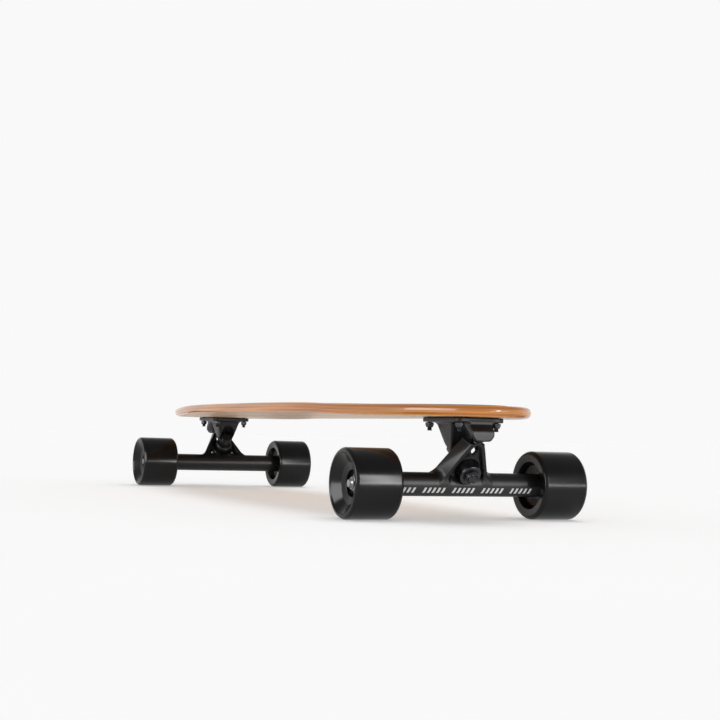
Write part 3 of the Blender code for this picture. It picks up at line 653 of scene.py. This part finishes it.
def ply_edge():
    """The routed edge of the plies under varnish: stained layers with dark glue lines."""
    paint = Paint("ply_edge", 0.45, Specular_IOR_Level=0.3, Coat_Weight=0.75,
                  Coat_Roughness=0.09, Coat_IOR=1.42)
    depth = paint.node("ShaderNodeAttribute", attribute_name="ply_depth").outputs["Fac"]
    wander = paint.ranged(paint.noise(14, 3, stretch=(1, 1, 0.2)), -0.035, 0.035)
    layer = paint.maths("MULTIPLY", paint.maths("ADD", depth, wander), PLY_COUNT)
    part = paint.maths("FRACT", layer)
    parity = paint.maths("FRACT", paint.maths("MULTIPLY", paint.maths("FLOOR", layer), 0.5))
    fibre = paint.noise(110, 6, stretch=(0.06, 0.06, 3.0))
    fine = paint.noise(520, 4, stretch=(0.05, 0.05, 3.0))
    streaks = paint.ramp(fibre, [(0.28, (0.42, 0.12, 0.014)), (0.5, (0.68, 0.235, 0.032)),
                                 (0.72, (0.9, 0.39, 0.075))])
    darker = paint.mixed(1.0, streaks, (0.74, 0.66, 0.6), "MULTIPLY")
    layers = paint.mixed(paint.maths("MULTIPLY", parity, 1.5), streaks, darker)
    glue = paint.ramp(part, [(0.0, (1, 1, 1)), (0.13, (0, 0, 0)), (0.87, (0, 0, 0)), (1.0, (1, 1, 1))])
    lines = paint.mixed(paint.maths("MULTIPLY", glue, 0.85), layers, (0.11, 0.028, 0.006))
    cloud = paint.noise(9, 3)
    worn = paint.mixed(paint.ranged(cloud, 0.0, 0.25), lines, (0.7, 0.3, 0.07))
    return paint.finished(worn, paint.ranged(fine, 0.34, 0.52),
                          [(fine, 0.12, 0.05), (fibre, 0.1, 0.08)])


def face_veneer():
    """The face veneer: straight maple grain along the board under gloss varnish."""
    paint = Paint("face_veneer", 0.5, Specular_IOR_Level=0.3, Coat_Weight=0.3,
                  Coat_Roughness=0.28, Coat_IOR=1.4)
    bands = paint.noise(16, 4, stretch=(0.14, 2.2, 1), distortion=1.2)
    fibre = paint.noise(190, 6, stretch=(0.05, 1.6, 1))
    pores = paint.noise(900, 3, stretch=(0.035, 1.0, 1))
    tone = paint.ramp(bands, [(0.25, (0.4, 0.25, 0.145)), (0.5, (0.54, 0.37, 0.23)),
                              (0.78, (0.64, 0.47, 0.32))])
    lines = paint.ramp(fibre, [(0.3, (0.62, 0.52, 0.42)), (0.6, (1, 1, 1))])
    pore = paint.ramp(pores, [(0.3, (0.7, 0.6, 0.5)), (0.45, (1, 1, 1))])
    grained = paint.mixed(0.55, tone, paint.mixed(1.0, tone, lines, "MULTIPLY"))
    colour = paint.mixed(0.5, grained, paint.mixed(1.0, grained, pore, "MULTIPLY"))
    return paint.finished(colour, paint.ranged(fibre, 0.32, 0.48),
                          [(fibre, 0.1, 0.05), (pores, 0.1, 0.03)])


def grit():
    """Black silicon-carbide grit on a paper sheet."""
    paint = Paint("grit", 0.85, Specular_IOR_Level=0.6)
    grains = paint.cells(1900)
    coarse = paint.noise(1300, 3)
    cloud = paint.noise(20, 4)
    sparkle = paint.ramp(paint.noise(4200, 1), [(0.62, (0, 0, 0)), (0.7, (1, 1, 1))])
    base = paint.ramp(cloud, [(0.3, (0.011, 0.011, 0.012)), (0.7, (0.022, 0.022, 0.023))])
    colour = paint.mixed(paint.maths("MULTIPLY", sparkle, 0.5), base, (0.16, 0.16, 0.17))
    return paint.finished(colour, paint.ranged(coarse, 0.65, 0.98),
                          [(grains, 0.9, 0.35), (coarse, 0.5, 0.2)])


def print_black():
    """A rough printed strip on the tube."""
    paint = Paint("print_black", 0.7)
    speckle = paint.noise(1500, 4)
    colour = paint.ramp(speckle, [(0.35, (0.006, 0.006, 0.0065)), (0.7, (0.03, 0.03, 0.032))])
    return paint.finished(colour, paint.ranged(speckle, 0.55, 0.85),
                          [(speckle, 0.4, 0.06)])


def print_white():
    """Screen-printed white, thin enough for the black to grin through."""
    paint = Paint("print_white", 0.5)
    cover = paint.noise(1200, 4)
    colour = paint.ramp(cover, [(0.32, (0.45, 0.45, 0.45)), (0.5, (0.84, 0.84, 0.83))])
    return paint.finished(colour, paint.ranged(cover, 0.42, 0.62),
                          [(cover, 0.3, 0.03)])


MATERIALS = {
    "black_casting": black_casting(),
    "black_steel": black_steel(),
    "bright_steel": bright_steel(),
    "black_urethane": urethane("black_urethane", (0.15, 0.22), (0.005, 0.005, 0.0053)),
    "bushing_urethane": urethane("bushing_urethane", (0.3, 0.42), (0.006, 0.006, 0.0065)),
    "bearing_shield": urethane("bearing_shield", (0.35, 0.5), (0.02, 0.02, 0.021)),
    "ply_edge": ply_edge(),
    "face_veneer": face_veneer(),
    "grit": grit(),
    "print_black": print_black(),
    "print_white": print_white(),
}


# ---------------------------------------------------------------- deck

def outline(inset):
    """Points of the deck's superellipse outline, moved in along its normals."""
    angles = np.arange(OUTLINE_POINTS) * 2 * np.pi / OUTLINE_POINTS
    along, across = np.cos(angles), np.sin(angles)
    x = DECK_LENGTH / 2 * np.sign(along) * np.abs(along) ** (2 / OUTLINE_POWERS[0])
    y = DECK_WIDTH / 2 * np.sign(across) * np.abs(across) ** (2 / OUTLINE_POWERS[1])
    points = np.stack([x, y], 1)
    tangent = np.roll(points, -1, 0) - np.roll(points, 1, 0)
    normal = np.stack([tangent[:, 1], -tangent[:, 0]], 1)
    normal /= np.linalg.norm(normal, axis=1)[:, None]
    return points - normal * inset


def concave(points):
    """How far the deck's surface stands above its flat middle strip."""
    beyond = np.maximum(0, np.abs(points[:, 1]) - FLAT_HALF_WIDTH)
    rise = (beyond / (DECK_WIDTH / 2 - FLAT_HALF_WIDTH)) ** 1.5
    fade = np.clip((np.abs(points[:, 0]) - FADE_START) / (FADE_END - FADE_START), 0, 1)
    return DECK_CONCAVE * rise * (1 - fade * fade * (3 - 2 * fade))


def plate(name, inset, bottom, top, edge, materials, face_rings=FACE_RINGS, edge_steps=EDGE_STEPS):
    """A thin plate with the deck's outline and concave, its edge rounded like a bullnose."""
    rings = []
    half = (top - bottom) / 2
    middle = (top + bottom) / 2
    rim = outline(inset + edge)
    for step in range(1, face_rings):
        rings.append((rim * (step / face_rings), bottom, 0))
    for step in range(edge_steps + 1):
        angle = math.pi * (step / edge_steps - 0.5)
        rings.append((outline(inset + edge * (1 - math.cos(angle))), middle + half * math.sin(angle), 1))
    for step in range(face_rings - 1, 0, -1):
        rings.append((rim * (step / face_rings), top, 0))
    vertices, depth = [], []
    for points, height, _ in rings:
        level = height + concave(points)
        vertices.extend(np.column_stack([points, level]).tolist())
        depth.extend([(height - bottom) / (top - bottom)] * OUTLINE_POINTS)
    faces = ring_quads(len(rings), OUTLINE_POINTS)
    indices = []
    for (_, _, near), (_, _, far) in zip(rings, rings[1:]):
        indices += [int(bool(near and far and len(materials) > 1))] * OUTLINE_POINTS
    last = (len(rings) - 1) * OUTLINE_POINTS
    faces.append(tuple(range(OUTLINE_POINTS - 1, -1, -1)))
    faces.append(tuple(range(last, last + OUTLINE_POINTS)))
    indices += [0, 0]
    mesh = bpy.data.meshes.new(name)
    mesh.from_pydata((np.array(vertices) * MM).tolist(), [], faces)
    for material in materials:
        mesh.materials.append(material)
    mesh.polygons.foreach_set("material_index", indices)
    attribute = mesh.attributes.new("ply_depth", "FLOAT", "POINT")
    attribute.data.foreach_set("value", depth)
    return object_of(name, mesh, None, 40)


def bolt_centres():
    """The deck bolts as (name, x, y) in millimetres, from the CAD's nodes."""
    centres = []
    for truck in TRUCKS:
        for number in (1, 2, 3, 4):
            low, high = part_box(f"{truck}_{number}_deck_bolt")
            middle = (low + high) / 2 / MM
            centres.append((f"{truck}_{number}", middle.x, middle.y))
    return centres


def cutter(name, profile, x, y, segments=48):
    item = turned(name, profile, None, segments, closed=False)
    item.location = (x * MM, y * MM, 0)
    return item


def finish_piece(item, body, slot, *nodes):
    """Gives a piece its body and hides the CAD nodes that it replaces. The slot is not used."""
    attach(item, body)
    if nodes:
        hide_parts(*nodes)


def place_copy(master, name, matrix, body, slot, node):
    """Adds a finished copy that shares its master's mesh."""
    item = linked(name, master.data)
    item.matrix_world = matrix
    finish_piece(item, body, slot, node)


def build_deck():
    deck = plate("deck_body", 0, DECK_UNDERSIDE, DECK_TOP, EDGE_ROUND,
                 [MATERIALS["face_veneer"], MATERIALS["ply_edge"]])
    wide = BOLT_HEAD_RADIUS + 0.35
    seat = DECK_TOP - BOLT_HEAD_HEIGHT - 0.3
    hole = [(0, DECK_UNDERSIDE - 2), (BOLT_HOLE_RADIUS, DECK_UNDERSIDE - 2), (BOLT_HOLE_RADIUS, seat),
            (wide, DECK_TOP - 0.1), (wide, DECK_TOP + 2), (0, DECK_TOP + 2)]
    cut_away(deck, [cutter(f"hole_{name}", hole, x, y) for name, x, y in bolt_centres()])
    finish_piece(deck, "root", "varnished_ply", "deck")

    low = DECK_TOP + GRIP_LIFT
    grip = plate("grip_sheet", GRIP_INSET, low, low + GRIP_THICKNESS, 0.25, [MATERIALS["grit"]],
                 face_rings=20, edge_steps=4)
    window = BOLT_HEAD_RADIUS + 0.6
    cut = [(0, low - 3), (window, low - 3), (window, low + 4), (0, low + 4)]
    cut_away(grip, [cutter(f"window_{name}", cut, x, y) for name, x, y in bolt_centres()])
    finish_piece(grip, "root", "grip", "grip_tape")


def hexagon_nut(name, width, height, bore, collar, material):
    """A lock nut from z = 0 up: a chamfered hexagon with a round collar that holds a nylon ring."""
    corner = width / math.sqrt(3)
    collar_radius = width * 0.46
    body_top = height - collar
    path = [
        (bore, 0.0, None), (width * 0.47, 0.0, width), (corner - 0.35, 0.22, width),
        (corner, 0.75, width), (corner, body_top - 0.75, width), (corner - 0.35, body_top - 0.22, width),
        (width * 0.47, body_top, width), (collar_radius, body_top + 0.05, None),
        (collar_radius, height - 0.5, None), (collar_radius - 0.2, height - 0.15, None),
        (collar_radius - 0.7, height, None), (bore + 0.55, height, None),
        (bore + 0.25, height - 0.3, None), (bore, height - 0.5, None),
    ]
    profile = [(radius, level) for radius, level, _ in path]
    hexes = [limit for _, _, limit in path]
    return turned(name, profile, material, 72, hexes=hexes)


def deck_bolt(name, material):
    """A countersunk bolt from its head's top at z = 0 down, with a hexagon socket and a thread."""
    length = 25.0
    radius = 2.4
    pitch = 0.8
    segments = 48
    thread = threaded(radius, pitch, -length, -12.0, segments)
    sections = [
        ring_at(0.01, -1.9, segments, 3.2), ring_at(1.85, -1.8, segments, 3.2),
        ring_at(1.85, -0.15, segments, 3.2), ring_at(2.1, 0.0, segments), ring_at(4.35, 0.0, segments),
        ring_at(4.6, -0.25, segments), ring_at(2.5, -2.75, segments), ring_at(radius, -3.1, segments),
        ring_at(radius, -11.9, segments),
    ]
    return stacked(name, [*sections, *thread[::-1]], material, segments)


def build_fasteners():
    nut = hexagon_nut("deck_nut", 8.0, 5.0, 2.7, 1.5, MATERIALS["black_steel"])
    bolt = deck_bolt("deck_bolt", MATERIALS["black_steel"])
    flip = Matrix.Rotation(math.pi, 4, "X")
    for name, x, y in bolt_centres():
        spin = Matrix.Rotation(math.radians((x + 3 * y) % 60), 4, "Z")
        top = Matrix.Translation((x * MM, y * MM, DECK_TOP * MM))
        under = Matrix.Translation((x * MM, y * MM, (FLANGE_BOTTOM - GAP) * MM))
        place_copy(bolt, f"{name}_bolt", top @ spin, "root", "black_steel", f"{name}_deck_bolt")
        place_copy(nut, f"{name}_lock_nut", under @ flip @ spin, "root", "black_steel",
                   f"{name}_deck_nut")
    for master in (nut, bolt):
        bpy.data.objects.remove(master, do_unlink=True)


# ---------------------------------------------------------------- trucks

def truck_matrix(sign):
    turn = 0 if sign > 0 else math.pi
    return Matrix.Translation((sign * AXLE_X, 0, 0)) @ Matrix.Rotation(turn, 4, "Z")


def kingpin_matrix(distance, direction=1):
    """Places a shape turned about z at a station along the kingpin."""
    turn = turn_from_z(KINGPIN_AXIS * direction).to_4x4()
    return Matrix.Translation(Vector(along_kingpin(distance)) * MM) @ turn


def bushing(name, far_radius, material):
    profile = filleted([
        (5.1, 0, 0.6), (BUSHING_RADIUS, 0, 1.2), (BUSHING_RADIUS + 0.1, 2.2, 1.0),
        ((BUSHING_RADIUS + far_radius) / 2 - 0.35, BUSHING_LENGTH / 2, 4.0),
        (far_radius, BUSHING_LENGTH - 2.0, 1.0), (far_radius, BUSHING_LENGTH, 1.0),
        (5.1, BUSHING_LENGTH, 0.6),
    ])
    return turned(name, profile, material, 96)


def washer(name, material):
    """A cup washer: its rim is rolled towards the bushing at z = 0."""
    top = WASHER_THICKNESS
    profile = filleted([
        (5.1, top - 1.5, 0.15), (WASHER_RADIUS - 1.3, top - 1.5, 0.3), (WASHER_RADIUS - 1.1, 0, 0.15),
        (WASHER_RADIUS, 0, 0.3), (WASHER_RADIUS, top, 1.2), (5.1, top, 0.3),
    ])
    return turned(name, profile, material, 96)


def kingpin(name, material):
    """The kingpin from its head's end at z = 0: hexagon head, shank and thread."""
    total = KINGPIN_END - LEG_BACK + GAP + KINGPIN_HEAD
    width = KINGPIN_NUT[0]
    corner = width / math.sqrt(3)
    segments = 48
    thread = threaded(KINGPIN_RADIUS, 1.06, total - 17, total, segments)
    sections = [
        ring_at(width * 0.42, 0, segments), ring_at(width * 0.46, 0.05, segments, width),
        ring_at(corner - 0.4, 0.3, segments, width), ring_at(corner, 0.9, segments, width),
        ring_at(corner, KINGPIN_HEAD, segments, width),
        ring_at(KINGPIN_RADIUS, KINGPIN_HEAD + 0.02, segments),
        ring_at(KINGPIN_RADIUS, total - 17.2, segments),
    ]
    return stacked(name, [*sections, *thread], material, segments)


def pivot_cup(name, material):
    depth, radius, bore, lip = 5.8, 6.0, 4.95, 1.6
    profile = [(0, depth), (radius - 0.5, depth), (radius, depth - 0.5), (radius, -lip + 0.4),
               (radius - 0.35, -lip), (bore + 0.25, -lip), (bore, -lip + 0.3)]
    for step in range(13):
        angle = math.pi / 2 * step / 12
        profile.append((bore * math.cos(angle), bore * math.sin(angle)))
    return turned(name, profile, material, 64, closed=False)


def axle(name, material):
    """The axle along z, with a thread at both ends."""
    segments = 48
    half, thread_start, radius, pitch = 123.0, 112.0, 4.0, 1.25
    rings = threaded(radius, pitch, thread_start, half, segments)
    lower = [[(x, y, -z) for x, y, z in ring] for ring in rings[::-1]]
    return stacked(name, [*lower, *rings], material, segments)


def printed_strip(name, low_angle, high_angle, start, end, lift, thickness, slant, material):
    """A thin curved patch on the outboard side of the tube, its ends slanted."""
    across_steps = max(2, int(abs(end - start) / 1.5))
    around_steps = max(4, int(math.degrees(high_angle - low_angle) / 4))
    layers = []
    for radius in (TUBE_RADIUS + lift, TUBE_RADIUS + lift + thickness):
        for step in range(around_steps + 1):
            share = step / around_steps
            angle = low_angle + (high_angle - low_angle) * share
            for along in range(across_steps + 1):
                y = start + (end - start) * along / across_steps + slant * (share - 0.5)
                layers.append((radius * math.cos(angle), y, AXLE_HEIGHT + radius * math.sin(angle)))
    columns = across_steps + 1
    layer = columns * (around_steps + 1)
    faces = []
    for row in range(around_steps):
        for column in range(across_steps):
            corner = row * columns + column
            quad = (corner, corner + 1, corner + 1 + columns, corner + columns)
            faces.append(quad)
            faces.append(tuple(layer + index for index in quad[::-1]))
    border = list(range(columns))
    border += [row * columns + across_steps for row in range(1, around_steps + 1)]
    border += [around_steps * columns + column for column in range(across_steps - 1, -1, -1)]
    border += [row * columns for row in range(around_steps - 1, 0, -1)]
    for here, there in zip(border, border[1:] + border[:1]):
        faces.append((here, there, there + layer, here + layer))
    return object_from(name, layers, faces, material, 30)


def build_print():
    """Plain slanted bars on a rough black strip, on the front hanger only."""
    matrix = truck_matrix(1)
    pieces = [printed_strip("front_print_strip", math.radians(-61), math.radians(-5), -88.0, 88.0,
                            0.02, 0.05, 0.0, MATERIALS["print_black"])]
    low, high = math.radians(-42), math.radians(-14)
    pitch = 33.0
    for group in range(5):
        first = group * pitch - 79.5
        for number in range(5):
            offset, width = number * 5.2, 2.5
            pieces.append(printed_strip(f"front_print_bar_{group + 1}_{number + 1}", low, high,
                                        first + offset, first + offset + width, 0.075, 0.04, 2.0,
                                        MATERIALS["print_white"]))
    for item in pieces:
        item.matrix_world = matrix
        finish_piece(item, "front_hanger", "black_casting")


def truck_shapes():
    """One master object for each shape that both trucks use, with its matrix in the truck's frame."""
    metal, rubber = MATERIALS["black_steel"], MATERIALS["bushing_urethane"]
    identity = Matrix.Identity(4)
    cup_place = Matrix.Translation(Vector(PIVOT) * MM) @ turn_from_z(PIVOT_CUP_AXIS).to_4x4()
    to_axle = Matrix.Translation(Vector(AXLE_CENTRE) * MM) @ Matrix.Rotation(-math.pi / 2, 4, "X")
    head_end = LEG_BACK - GAP - KINGPIN_HEAD
    return {
        "baseplate": (casting("baseplate_casting", baseplate_distance(), (-40, -30, 48),
                              (50, 30, 105), MATERIALS["black_casting"]), identity, "black_casting"),
        "pivot_cup": (pivot_cup("pivot_seat", rubber), cup_place, "bushing_urethane"),
        "kingpin": (kingpin("kingpin_bolt", metal), kingpin_matrix(head_end), "black_steel"),
        "kingpin_nut": (hexagon_nut("kingpin_lock_nut", KINGPIN_NUT[0], KINGPIN_NUT[1],
                                    KINGPIN_RADIUS + 0.3, 1.4, metal),
                        kingpin_matrix(NUT_START), "black_steel"),
        "board_bushing": (bushing("board_bushing", BUSHING_RADIUS, rubber),
                          kingpin_matrix(-BUSHING_START, -1), "bushing_urethane"),
        "road_bushing": (bushing("road_bushing", BUSHING_RADIUS - 1.2, rubber),
                         kingpin_matrix(BUSHING_START), "bushing_urethane"),
        "board_washer": (washer("board_cup_washer", metal), kingpin_matrix(-WASHER_START, -1),
                         "black_steel"),
        "road_washer": (washer("road_cup_washer", metal), kingpin_matrix(WASHER_START), "black_steel"),
        "hanger": (casting("hanger_casting", hanger_distance(), (-20, -92, 20), (45, 92, 90),
                           MATERIALS["black_casting"]), identity, "black_casting"),
        "axle": (axle("axle_rod", MATERIALS["bright_steel"]), to_axle, "bright_steel"),
    }


def build_trucks():
    for part, (master, place, slot) in truck_shapes().items():
        for truck, sign in TRUCKS.items():
            body = f"{truck}_hanger" if part in ("hanger", "axle") else "root"
            place_copy(master, f"{truck}_{master.name}", truck_matrix(sign) @ place, body, slot,
                       f"{truck}_{part}")
        bpy.data.objects.remove(master, do_unlink=True)


# ---------------------------------------------------------------- wheels

BEARING_RADIUS = 11.0
BEARING_WIDTH = 7.0
BEARING_STATION = 91.0 - WHEEL_Y / MM
SPACER_LENGTH = 10.0
OUTER_STATION = BEARING_STATION + BEARING_WIDTH + SPACER_LENGTH
WHEEL_HALF = 25.5
WHEEL_RADIUS = 35.0


def wheel(name, material):
    """The wheel about z, its outer face up: rounded lips, a dished outer face and a deep inner one."""
    outer_end = OUTER_STATION + BEARING_WIDTH
    seat = BEARING_RADIUS + 0.12
    profile = filleted([
        (30.6, WHEEL_HALF, 0.7), (33.3, WHEEL_HALF - 0.5, 1.6), (WHEEL_RADIUS, WHEEL_HALF - 3.0, 2.0),
        (WHEEL_RADIUS, 3.0 - WHEEL_HALF, 2.0), (33.3, 0.5 - WHEEL_HALF, 1.6),
        (31.2, -WHEEL_HALF, 0.8), (24.3, 0.8 - WHEEL_HALF, 1.0), (21.8, BEARING_STATION - 3.0, 3.0),
        (14.5, BEARING_STATION - 0.4, 1.0), (13.0, BEARING_STATION, 0.4),
        (seat, BEARING_STATION, 0.15), (seat, BEARING_STATION + BEARING_WIDTH + 0.1, 0.1),
        (9.0, BEARING_STATION + BEARING_WIDTH + 0.1, 0.3), (9.0, OUTER_STATION - 0.1, 0.3),
        (seat, OUTER_STATION - 0.1, 0.1), (seat, outer_end, 0.15), (12.6, outer_end, 0.4),
        (13.0, WHEEL_HALF - 10.4, 0.7), (20.5, WHEEL_HALF - 8.6, 4.0), (29.3, WHEEL_HALF - 1.6, 1.2),
    ], steps=7)
    return turned(name, profile, material, 160)


def bearing(name):
    """A sealed bearing about z from z = 0 up: outer race, shield and inner race in one turned shape."""
    outer, width, bore = BEARING_RADIUS, BEARING_WIDTH, 4.05
    face = [
        (9.6, 0.0), (9.4, 0.15), (9.35, 0.45), (9.0, 0.5), (7.6, 0.38), (6.6, 0.5), (6.3, 0.52),
        (6.25, 0.12), (6.05, 0.0),
    ]
    shield = [0, 0, 1, 1, 1, 1, 0, 0]
    rim = [(bore + 0.35, 0.0), (bore, 0.35), (bore, width - 0.35), (bore + 0.35, width)]
    back = [(radius, width - depth) for radius, depth in face[::-1]]
    edge = [(outer - 0.45, width), (outer, width - 0.45), (outer, 0.45), (outer - 0.45, 0.0)]
    profile = [*face, *rim, *back, *edge]
    bands = [*shield, 0, 0, 0, 0, 0, *shield[::-1], 0, 0, 0, 0, 0]
    item = turned(name, profile, MATERIALS["bright_steel"], 96, bands=bands)
    item.data.materials.append(MATERIALS["bearing_shield"])
    return item


def build_wheels():
    masters = {
        "wheel": (wheel("tyre", MATERIALS["black_urethane"]), 0.0, "black_urethane"),
        "inner_bearing": (bearing("sealed_inner_bearing"), BEARING_STATION, "bright_steel"),
        "outer_bearing": (bearing("sealed_outer_bearing"), OUTER_STATION, "bright_steel"),
        "axle_nut": (hexagon_nut("axle_lock_nut", 13.0, 5.0, 4.2, 1.5, MATERIALS["bright_steel"]),
                     OUTER_STATION + BEARING_WIDTH + GAP, "bright_steel"),
    }
    for part, (master, height, slot) in masters.items():
        for truck, sign_x in TRUCKS.items():
            for side, sign_y in SIDES.items():
                facing = Matrix.Rotation(-sign_y * math.pi / 2, 4, "X")
                centre = Matrix.Translation((sign_x * AXLE_X, sign_y * WHEEL_Y, AXLE_Z))
                place = centre @ facing @ Matrix.Translation((0, 0, height * MM))
                body = f"{truck}_hanger" if part == "axle_nut" else f"{truck}_{side}_wheel"
                place_copy(master, f"{truck}_{side}_{master.name}", place, body, slot,
                           f"{truck}_{side}_{part}")
        bpy.data.objects.remove(master, do_unlink=True)
    for truck in TRUCKS:
        for side in SIDES:
            spacer = frame["nodes"][f"{truck}_{side}_bearing_spacer"]
            spacer.data.materials.clear()
            spacer.data.materials.append(MATERIALS["bright_steel"])


# ---------------------------------------------------------------- stage, light and camera

FLOOR_GLOW = 0.325
SUN_STRENGTH = 1.0
SUN_ANGLE = 50


def build_stage():
    radius = 60.0
    shape = bmesh.new()
    bmesh.ops.create_circle(shape, cap_ends=True, segments=96, radius=radius)
    mesh = bpy.data.meshes.new("studio_floor")
    shape.to_mesh(mesh)
    shape.free()
    paint = Paint("studio_floor", 0.9, Specular_IOR_Level=0.0, Emission_Strength=FLOOR_GLOW,
                  Emission_Color=(1, 1, 1, 1))
    tone = paint.ramp(paint.noise(3, 2), [(0.3, (0.795, 0.795, 0.795)), (0.7, (0.805, 0.805, 0.805))])
    paint.feed(paint.shader.inputs["Base Color"], tone)
    mesh.materials.append(paint.material)
    linked("studio_floor", mesh)


def build_world():
    """A pale room that is bright near the horizon and dimmer overhead."""
    world = bpy.data.worlds.new("studio")
    bpy.context.scene.world = world
    world.use_nodes = True
    tree = world.node_tree
    place = tree.nodes.new("ShaderNodeTexCoord")
    split = tree.nodes.new("ShaderNodeSeparateXYZ")
    ramp = tree.nodes.new("ShaderNodeValToRGB")
    stops = ((0.0, 0.947), (0.33, 0.947), (0.62, 0.35), (1.0, 0.3))
    fill_ramp(ramp.color_ramp, [(position, (value, value, value)) for position, value in stops])
    tree.links.new(place.outputs["Generated"], split.inputs["Vector"])
    tree.links.new(split.outputs["Z"], ramp.inputs["Fac"])
    tree.links.new(ramp.outputs["Color"], tree.nodes["Background"].inputs["Color"])


def soft_box(name, place, target, size, power):
    data = bpy.data.lights.new(name, "AREA")
    data.shape = "RECTANGLE"
    data.size, data.size_y = size
    data.energy = power
    lamp = linked(name, data)
    lamp.location = place
    lamp.rotation_euler = (Vector(target) - Vector(place)).to_track_quat("-Z", "Y").to_euler()
    lamp.visible_camera = False
    lamp.visible_diffuse = False


def build_sun():
    """Very soft overhead light, even over the whole floor."""
    data = bpy.data.lights.new("overhead", "SUN")
    data.energy = SUN_STRENGTH
    data.angle = math.radians(SUN_ANGLE)
    lamp = linked("overhead", data)
    lamp.rotation_euler = (math.radians(-12), math.radians(-8), 0)
    lamp.visible_glossy = False


CAMERA_PLACE = (1.5859, -0.6605, 0.0818)
CAMERA_YAW = 155.76
CAMERA_PITCH = 3.15
CAMERA_ROLL = 1.57
CAMERA_LENS = 68.27


def build_camera():
    data = bpy.data.cameras.new("camera")
    data.sensor_width = 36
    data.lens = CAMERA_LENS
    data.clip_start = 0.02
    data.clip_end = 200
    camera = linked("camera", data)
    yaw, pitch = math.radians(CAMERA_YAW), math.radians(CAMERA_PITCH)
    look = Vector((math.cos(yaw) * math.cos(pitch), math.sin(yaw) * math.cos(pitch), math.sin(pitch)))
    turn = look.to_track_quat("-Z", "Y").to_matrix().to_4x4()
    roll = Matrix.Rotation(math.radians(CAMERA_ROLL), 4, "Z")
    camera.matrix_world = Matrix.Translation(CAMERA_PLACE) @ turn @ roll
    bpy.context.scene.camera = camera
    bpy.context.scene.view_settings.view_transform = "Standard"


build_stage()
build_world()
build_camera()
build_sun()
soft_box("near_box", (2.3, 0.83, 0.56), (0.37, -0.1, 0.05), (0.26, 0.95), 17)
soft_box("strip_box", (2.35, 0.85, 0.13), (0.3, 0.0, 0.06), (1.5, 0.14), 9)
soft_box("side_box", (0.55, -1.7, 0.56), (0.5, -0.1, 0.1), (1.5, 1.1), 40)
build_deck()
build_fasteners()
build_trucks()
build_print()
build_wheels()
